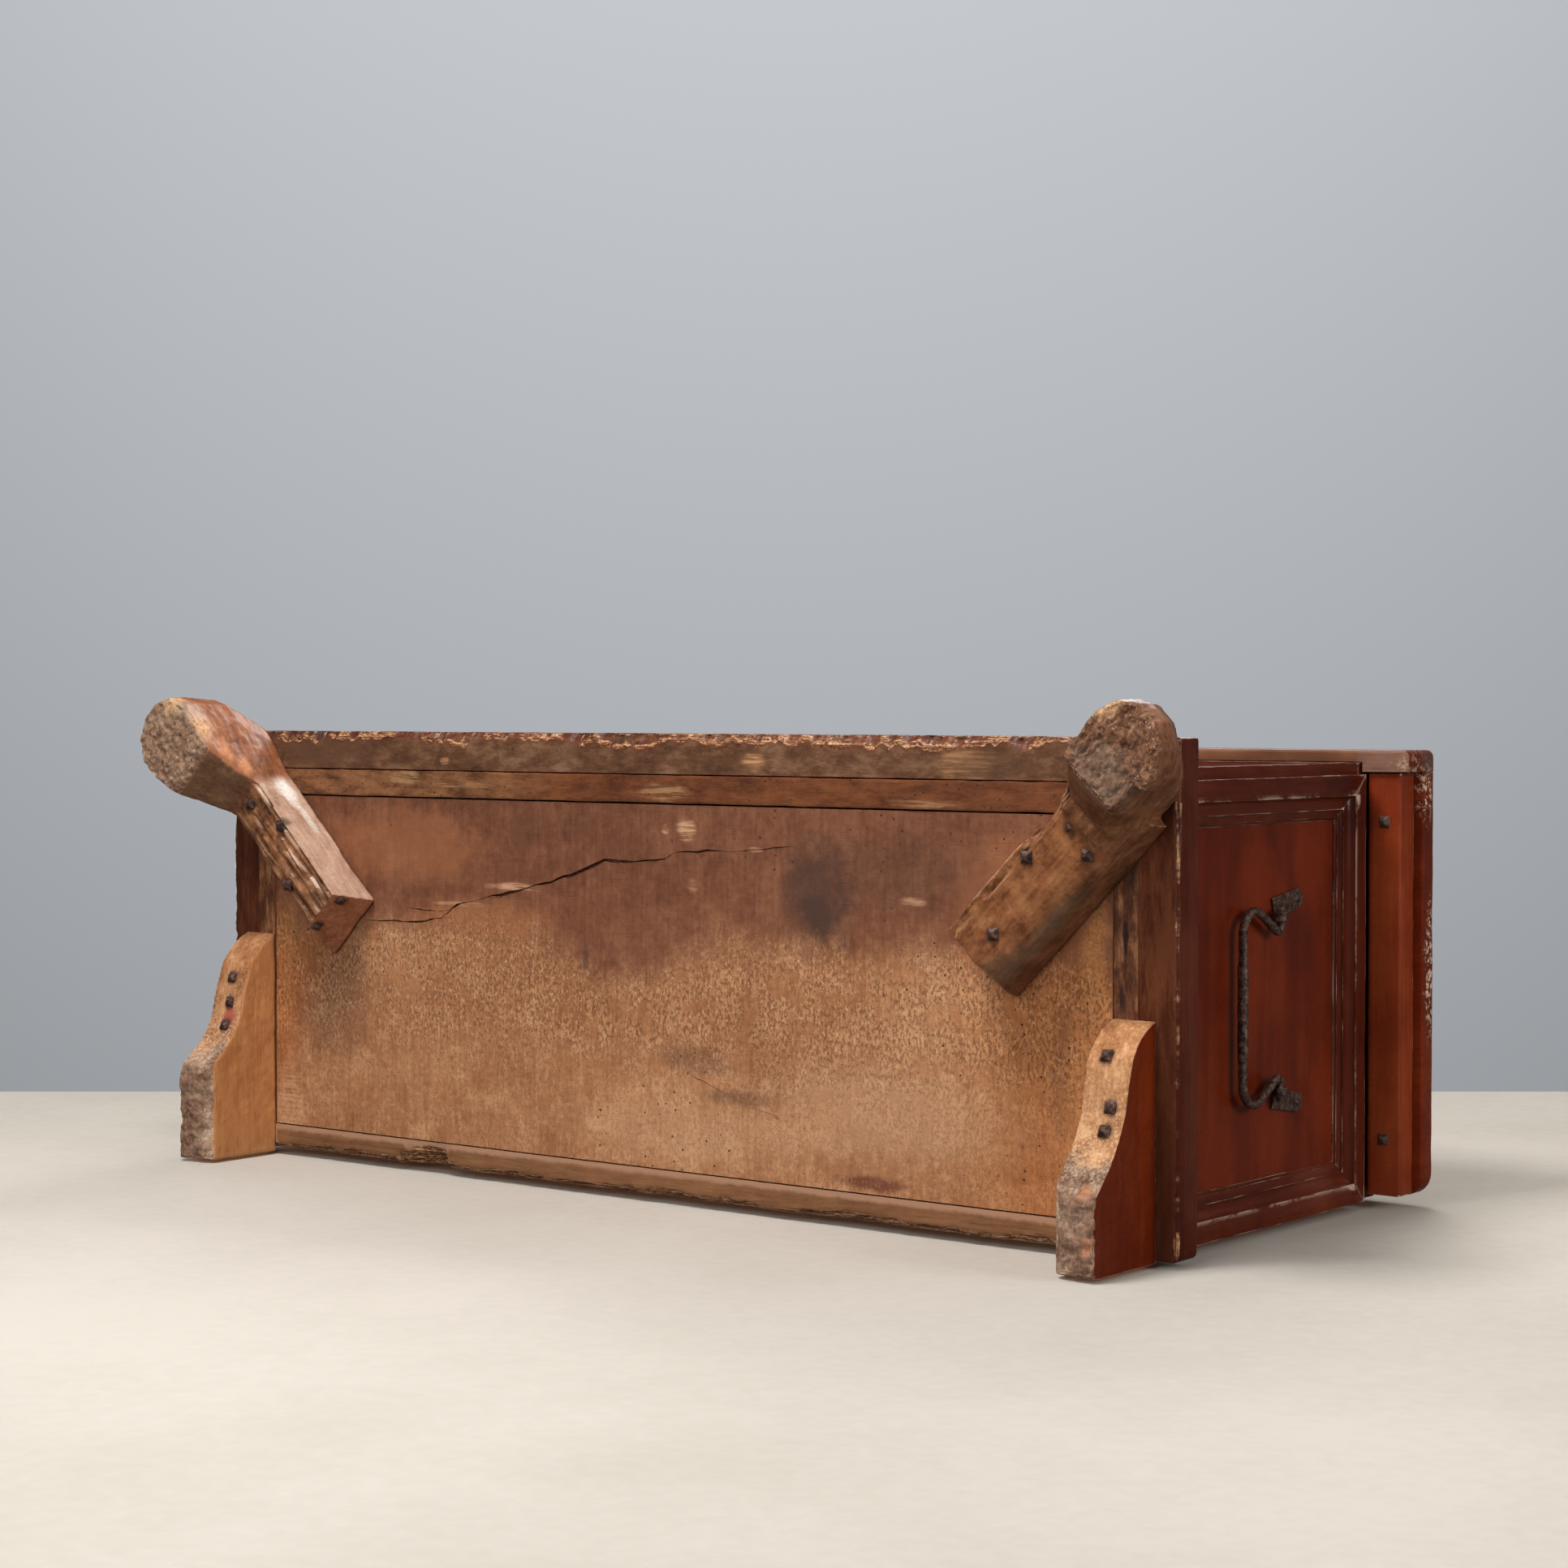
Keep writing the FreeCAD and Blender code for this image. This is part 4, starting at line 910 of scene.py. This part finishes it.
def foot_marks(wood, side):
    """The bar, its rubbed side with a painted highlight on the left foot, the sole and the rough pad of a
    front foot.
    """
    place, normal = wood.place, wood.normal
    out = vector_calc("DOT_PRODUCT", place, (side * DIAGONAL, -DIAGONAL, 0))
    out = calc("SUBTRACT", out, (foot_origin.x - foot_origin.y) * DIAGONAL)
    over = vector_calc("DOT_PRODUCT", place, (side * DIAGONAL, DIAGONAL, 0))
    over = calc("SUBTRACT", over, (foot_origin.x + foot_origin.y) * DIAGONAL)
    height = axes_of(place)["Z"]
    own = add_node(tree_of(place), "CombineXYZ", {0: out, 1: over, 2: height}).outputs[0]
    mottle = cloud(own, 34.0, 6.0, 0.65)
    grit = cloud(own, 210.0, 4.0, 0.75)
    lines = cloud(scaled(own, (0.06, 1, 1)), 240.0, 4.0, 0.65)
    tone = total((mottle, 0.55 if side > 0 else 0.5), (lines, 0.2 if side > 0 else 0.3), (grit, 0.2),
        (1.0, 0.025 if side > 0 else 0.0))
    on_bar = between(out, 0.185, 0.205, 1.0, 0.0)
    down = facing(normal, DOWN, 0.6, 0.85)
    inner = facing(normal, (-side * DIAGONAL, -DIAGONAL, 0), 0.5, 0.8)
    slope = facing(normal, (-side * 0.48, 0.48, -0.73), 0.85, 0.95)
    pad_mask = between(height, 0.01, 0.003)
    if side < 0:
        body = (0.38, 0.5, 0.62), (0.12, 0.039, 0.016), (0.225, 0.077, 0.032), (0.331, 0.132, 0.061)
        under = (0.42, 0.5, 0.58), (0.05, 0.019, 0.008), (0.176, 0.067, 0.028), (0.33, 0.152, 0.067)
        sole = (0.38, 0.62), (0.105, 0.048, 0.024), (0.215, 0.108, 0.056)
        sawn_end = (0.38, 0.48, 0.58), (0.07, 0.034, 0.02), (0.225, 0.126, 0.076), (0.37, 0.23, 0.15)
        smears = [((0.3, -0.055, 0.012), (0.03, 0.018, 0.02), 0.5)]
        nail_places = [(0.1817, -0.0177), (0.1301, -0.0363), (0.073, 0.003)]
    else:
        body = (0.4, 0.5, 0.6), (0.075, 0.026, 0.011), (0.16, 0.06, 0.025), (0.26, 0.112, 0.054)
        under = (0.42, 0.5, 0.6), (0.115, 0.038, 0.014), (0.205, 0.074, 0.027), (0.3, 0.125, 0.05)
        sole = (0.4, 0.6), (0.07, 0.024, 0.009), (0.175, 0.066, 0.028)
        sawn_end = (0.4, 0.48, 0.58), (0.048, 0.017, 0.008), (0.122, 0.049, 0.023), (0.24, 0.109, 0.055)
        smears = [((0.27, 0.0, 0.0), (0.04, 0.05, 0.05), 0.35)]
        nail_places = [(0.1886, -0.0106), (0.1322, -0.0257), (0.183, 0.0193), (0.0532, -0.0004)]
    colour = ramp(tone, *body)
    colour = mix(times(down, on_bar), colour, ramp(tone, *under))
    rubbed = ramp(tone, (0.4, 0.6), (0.33, 0.19, 0.125), (0.52, 0.345, 0.245))
    shiny = times(inner, on_bar)
    if side < 0:
        # Painted highlight: near-white patches near the toe on the left bar's rubbed inner face stand in for
        # the lamp's glossy highlight.
        rubbed = patches_of(own, rubbed, (0.82, 0.76, 0.7),
            [((0.178, -0.046, 0.088), (0.034, 0.02, 0.014), 0.9),
            ((0.13, -0.046, 0.092), (0.03, 0.02, 0.008), 0.5)], 0.3)
        colour = mix(times(shiny, 0.92), colour, rubbed)
        colour = patches_of(own, colour, (0.52, 0.215, 0.085),
            [((0.285, -0.04, 0.012), (0.03, 0.01, 0.012), 0.8),
            ((0.245, -0.045, 0.03), (0.04, 0.009, 0.018), 0.8),
            ((0.215, -0.046, 0.048), (0.018, 0.009, 0.012), 0.8)], 0.4)
    colour = mix(times(slope, inverse(on_bar)), colour, ramp(tone, *sole))
    end = facing(normal, (-side * DIAGONAL, DIAGONAL, -0.2), 0.6, 0.85)
    end = times(end, between(out, 0.03, 0.05, 1.0, 0.0))
    colour = mix(end, colour, ramp(tone, (0.4, 0.6), (0.23, 0.081, 0.038), (0.45, 0.174, 0.083)))
    knots = cloud(own, 150.0, 8.0, 0.8)
    grain_end = ramp(total((knots, 0.8), (mottle, 0.2)), *sawn_end)
    specks = times(between(cloud(own, 420.0, 4.0, 0.65), 0.58, 0.66), between(mottle, 0.46, 0.56))
    grain_end = mix(times(specks, 0.8), grain_end, (0.64, 0.48, 0.34))
    colour = mix(pad_mask, colour, grain_end)
    colour = patches_of(own, colour, (0.7, 0.41, 0.205), [((0.322, -0.045, 0.006), (0.03, 0.02, 0.02), 0.8),
        ((0.27, -0.058, 0.008), (0.03, 0.012, 0.02), 0.6)], 0.6)
    if side > 0:
        colour = patches_of(own, colour, (0.115, 0.078, 0.05),
            [((0.1, 0.04, 0.06), (0.09, 0.016, 0.03), 0.7), ((0.03, 0.03, 0.055), (0.05, 0.022, 0.03), 0.5)],
            0.3)
        colour = patches_of(own, colour, (0.52, 0.29, 0.145),
            [((0.1, -0.041, 0.052), (0.1, 0.0035, 0.02), 0.9),
            ((0.02, -0.03, 0.052), (0.03, 0.004, 0.02), 0.5)], 0.7, (0.15, 1, 1))
        colour = patches_of(own, colour, (0.33, 0.045, 0.02),
            [((-0.022, 0.01, 0.055), (0.012, 0.012, 0.03), 0.5),
            ((0.19, 0.03, 0.05), (0.006, 0.006, 0.02), 0.6)], 0.5)
    colour = patches_of(own, colour, (0.23, 0.185, 0.135), smears, 0.4)
    colour = patches_of(own, colour, (0.035, 0.017, 0.01),
        [((x, y, 0.052), (0.0115, 0.0115, 0.03), 0.75) for x, y in nail_places])
    wood.colour = mix(times(between(wood.worn, 0.25, 0.7), 0.35), colour, worn_wood)
    wood.rough = total((grit, 0.25), (pad_mask, 0.35), (shiny, -0.16 if side < 0 else 0.0), (1.0, 0.3))
    wood.height = total((wood.height, 0.6), (lines, 0.8), (mottle, 0.8), (grit, 0.4),
        (times(knots, pad_mask), 2.5))


def hewn(side, seed):
    """Shape of a front foot: tool marks all over, a rough pad, and on the left a torn underside."""
    def shape(co, normal):
        own = own_place(side, co)
        move = normal * (-0.0014 * max(0, 0.5 + rough(own, (16, 30, 30), seed)))
        torn = 0
        if side > 0 and co.z < 0.06 and own.x > 0.2:
            low = max(0, 1 - co.z / 0.07)
            slack = max(0, -0.022 - own.y) * 0.28 * low - max(0, own.y - 0.018) * 0.35 * low * (own.x < 0.29)
            draw = max(0, 0.258 - own.x) * 0.5 * low
            move += Vector((DIAGONAL * (slack + draw), DIAGONAL * (slack - draw), 0))
        if co.z < 0.006:
            move += Vector((0, 0, 0.0028 * max(0, 0.4 + rough(own, 110, seed + 1))))
        on_bar = max(0, min(1, (0.205 - own.x) / 0.02))
        if normal.z < -0.5 and on_bar and side < 0:
            groove = max(0, 0.25 + rough(own, (5, 95, 20), seed + 2)) * on_bar
            splinter = max(0, 1 - abs(own.y - 0.012 - 0.1 * (own.x - 0.15)) / 0.008) if own.x > 0.13 else 0
            move += Vector((0, 0, 0.0055 * groove + 0.006 * splinter * on_bar))
            torn = min(0.75, 0.9 * splinter + 0.35 * groove)
        if side > 0 and on_bar and co.z < 0.062 and own.y < -0.03:
            chip = max(0, 0.2 + rough(own, (24, 60, 60), seed + 3))
            move += Vector((0, 0, 0.006 * chip))
            torn = min(0.9, 1.5 * chip)
        ridge = max(0, 1 - abs(own.y + 0.052) / 0.008) if 0.2 < own.x < 0.27 and co.z < 0.05 else 0
        torn = max(torn, 0.6 * ridge * max(0, 0.5 + rough(own, 60, seed + 4)))
        return move, torn
    return shape


for side, end in ((1, "right"), (-1, "left")):
    node = f"front_foot_{end}"
    foot_finish = old_wood(f"hewn_{end}_foot", (0.25, 0.25, 1), extra=lambda wood: foot_marks(wood, side))
    foot = copy_of(node)
    apply_modifier(foot, "REMESH", mode="VOXEL", voxel_size=0.0019)
    blend = foot.vertex_groups.new(name="blend")
    for vertex in foot.data.vertices:
        own = own_place(side, vertex.co)
        neck = max(0, 1 - abs(own.x - 0.215) / 0.075) if 0.002 < own.z < 0.085 else 0
        arris = max(0, 1 - (abs(own.y - 0.036) + abs(own.z - 0.056)) / 0.03) * (side > 0 and own.x < 0.2)
        blend.add([vertex.index], min(1, (3.0 * neck if side > 0 else 0.5 * neck) + 1.5 * arris), "REPLACE")
    apply_modifier(foot, "SMOOTH", factor=0.9, iterations=320 if side > 0 else 120, vertex_group="blend")
    apply_modifier(foot, "SMOOTH", factor=0.5, iterations=2)
    carve(foot, hewn(side, 72 + side))
    finish_piece(foot, foot_finish, "chest", node, 60)


# The rear feet.
# Thick brackets sawn to an S curve under the ends of the side boards, polished outside and bare inside.
# Their pads are rough grey end grain, and the sawn curve is pale and stippled.
def bracket_marks(wood, side):
    """The sawn curve and the rough pad of a rear foot."""
    place, normal = wood.place, wood.normal
    axes = axes_of(place)
    mottle = cloud(place, 30.0, 6.0, 0.65)
    grit = cloud(place, 300.0, 4.0, 0.7)
    tone = total((mottle, 0.5), (wood.grain["Streaks"], 0.25), (grit, 0.25))
    sawn = facing(normal, (0, -0.75, -0.66), 0.45, 0.7)
    if side > 0:
        curve_colours = (0.22, 0.082, 0.028), (0.385, 0.175, 0.074), (0.6, 0.33, 0.165)
        nail_places = [(0.5973, 0.068873, 0.068), (0.6089, 0.114673, 0.055), (0.6079, 0.135973, 0.0465)]
    else:
        curve_colours = (0.18, 0.063, 0.02), (0.315, 0.132, 0.052), (0.49, 0.248, 0.115)
        nail_places = [(-0.6007, 0.059773, 0.0625), (-0.5969, 0.087973, 0.055), (-0.5963, 0.114273, 0.0465)]
    curve = ramp(tone, (0.4, 0.5, 0.6), *curve_colours)
    colour = mix(sawn, wood.colour, curve)
    stipple = between(cloud(place, 520.0, 2.0), 0.6, 0.66)
    colour = mix(times(times(stipple, sawn), 0.6), colour, (0.13, 0.05, 0.02))
    low = between(total((axes["Z"], 1.0), (mottle, 0.09), (grit, 0.02)), 0.094, 0.07)
    pad_colour = ramp(total((grit, 0.6), (mottle, 0.4)), (0.4, 0.5, 0.6), (0.13, 0.074, 0.046),
        (0.32, 0.208, 0.136), (0.54, 0.39, 0.275))
    base = between(total((axes["Z"], 1.0), (mottle, 0.05)), 0.045, 0.028)
    pad_colour = mix(times(base, 0.8), pad_colour, ramp(tone, (0.4, 0.6), (0.11, 0.045, 0.025),
        (0.3, 0.17, 0.11)))
    cream = times(between(cloud(place, 380.0, 4.0, 0.7), 0.5, 0.6),
        between(total((axes["Z"], 1.0), (mottle, 0.04)), 0.09, 0.06))
    curve = mix(times(cream, 0.4), curve, (0.78, 0.6, 0.42))
    colour = mix(sawn, colour, curve)
    inner_low = calc("MAXIMUM", sawn, facing(normal, DOWN, 0.4, 0.7))
    colour = mix(times(low, inner_low), colour, pad_colour)
    if side > 0:
        colour = patches_of(place, colour, (0.56, 0.23, 0.11),
            [((0.612, 0.185, 0.006), (0.012, 0.012, 0.01), 0.7),
            ((0.616, 0.235, 0.004), (0.01, 0.014, 0.01), 0.7)], 0.5)
    if side < 0:
        colour = patches_of(place, colour, (0.33, 0.05, 0.04),
            [((-0.594, 0.102, 0.05), (0.012, 0.02, 0.02), 0.75)])
    colour = patches_of(place, colour, (0.06, 0.028, 0.018),
        [(nail_place, (0.0115, 0.0115, 0.0115), 0.7) for nail_place in nail_places])
    wood.colour = colour
    wood.rough = total((wood.rough, 0.9), (sawn, 0.25), (low, 0.15))
    wood.height = total((wood.height, 1.0), (mottle, 0.8), (grit, 0.6))


def bracket_shape(side, seed):
    """Shape of a rear foot: the pad worn round and rough, the rest only a little uneven."""
    def shape(co, normal):
        worn = max(0, min(1, (0.014 - co.z) / 0.014))
        inward = max(0, min(1, (0.626 - side * co.x) / 0.05))
        move = normal * (-0.001 * max(0, 0.5 + rough(co, 22, seed)))
        move -= normal * (0.0035 * worn * max(0, 0.5 + rough(co, 70, seed + 1)))
        move += Vector((0, 0, 0.004 * worn * inward))
        return move, 0
    return shape


for side, end in ((1, "right"), (-1, "left")):
    node = f"rear_foot_{end}"
    bare_side = ((0.29, 0.105, 0.032), (0.48, 0.215, 0.08)) if side > 0 else (
        (0.38, 0.138, 0.043), (0.63, 0.282, 0.106))
    bracket_finish = old_wood(f"{end}_bracket_foot", ALONG_Y,
        [(-side, 0, 0), DOWN, (0, -1, 0), (0, 1, 0)], bare=bare_side,
        extra=lambda wood: bracket_marks(wood, side))
    foot = copy_of(node)
    apply_modifier(foot, "REMESH", mode="VOXEL", voxel_size=0.002)
    apply_modifier(foot, "SMOOTH", factor=0.5, iterations=3)
    carve(foot, bracket_shape(side, 80 + side))
    finish_piece(foot, bracket_finish, "chest", node, 60)


# The ironwork.
# Bails, straps, hinges and nails forged by hand: dark brown-black iron, pitted, with bright worn spots.
iron_finish, iron = new_material("forged_iron")
iron_place = add_node(iron, "TexCoord").outputs["Object"]
hammered = cloud(iron_place, 190.0, 4.0, 0.6)
pitted = cloud(iron_place, 700.0, 4.0, 0.7)
iron_worn = add_node(iron, "Attribute", attribute_name="worn").outputs["Fac"]
iron_colour = ramp(hammered, (0.34, 0.52, 0.68), (0.03, 0.014, 0.01), (0.092, 0.046, 0.033),
    (0.19, 0.11, 0.08))
rubbed = between(total((iron_worn, 0.5), (pitted, 1.0)), 0.6, 0.9)
iron_colour = mix(times(rubbed, 0.6), iron_colour, (0.27, 0.205, 0.17))
iron_rough = between(pitted, 0.3, 0.7, 0.34, 0.6)
iron_height = total((hammered, 1.4), (pitted, 0.6))
iron_bump = add_node(iron, "Bump", {"Height": iron_height, "Strength": 0.9, "Distance": 0.0008})
iron_shader = add_node(iron, "BsdfPrincipled", {"Base Color": iron_colour, "Roughness": iron_rough,
    "Metallic": 0.55, "Normal": iron_bump.outputs["Normal"]})
add_node(iron, "OutputMaterial", {"Surface": iron_shader.outputs[0]})


def forged(node, body, voxel, dents, seed, soften=2, heads=1.0, shift=lambda co: 0):
    """Ironwork, its flats softened and dented by the hammer; nail heads may be widened and shifted."""
    piece = copy_of(node)
    if heads > 1:
        bpy.ops.object.mode_set(mode="EDIT")
        bpy.ops.mesh.select_all(action="SELECT")
        bpy.ops.mesh.separate(type="LOOSE")
        bpy.ops.object.mode_set(mode="OBJECT")
        bpy.ops.object.origin_set(type="ORIGIN_GEOMETRY", center="BOUNDS")
        for head in bpy.context.selected_objects:
            head.scale = (heads, heads, heads)
        bpy.ops.object.transform_apply(location=True, rotation=True, scale=True)
        bpy.context.view_layer.objects.active = piece
        bpy.ops.object.join()
    apply_modifier(piece, "REMESH", mode="VOXEL", voxel_size=voxel)
    apply_modifier(piece, "SMOOTH", factor=0.5, iterations=soften)
    dented = wavering(dents, seed, 170)
    thicker = 0.0009 if node.startswith("bail") else 0
    grip_top, grip_middle, grip_half = 0.302, 0.0413, 0.052

    def shape(co, normal):
        on_grip = (co.z < grip_top) * max(0, min(1, (grip_half - abs(co.y - grip_middle)) / 0.012))
        return dented(co, normal)[0] + normal * thicker * on_grip + Vector((0, shift(co), 0)), 0

    carve(piece, shape)
    finish_piece(piece, iron_finish, body, node, 80)


for number, end in enumerate(("right", "left")):
    forged(f"bail_{end}", f"{end}_bail", 0.001, 0.0006, 90 + number)
    for where in ("front", "rear"):
        forged(f"strap_{end}_{where}", "chest", 0.0008, 0.0003, 94 + number)
for node, body, shift in (("foot_nails", "chest", lambda co: 0), ("strap_nails", "chest", lambda co: 0),
        ("batten_nails", "lid", lambda co: 0.031 if co.y < 0.03 else -0.029),
        ("hinge_body_nails", "chest", lambda co: 0), ("hinge_lid_nails", "lid", lambda co: 0)):
    forged(node, body, 0.0006, 0.0004, 98, 6, 1.25, shift)
for end in ("right", "left"):
    for node in (f"hinge_body_leaf_{end}", f"hinge_lid_leaf_{end}", f"hinge_pin_{end}"):
        frame["nodes"][node].data.materials.clear()
        frame["nodes"][node].data.materials.append(iron_finish)
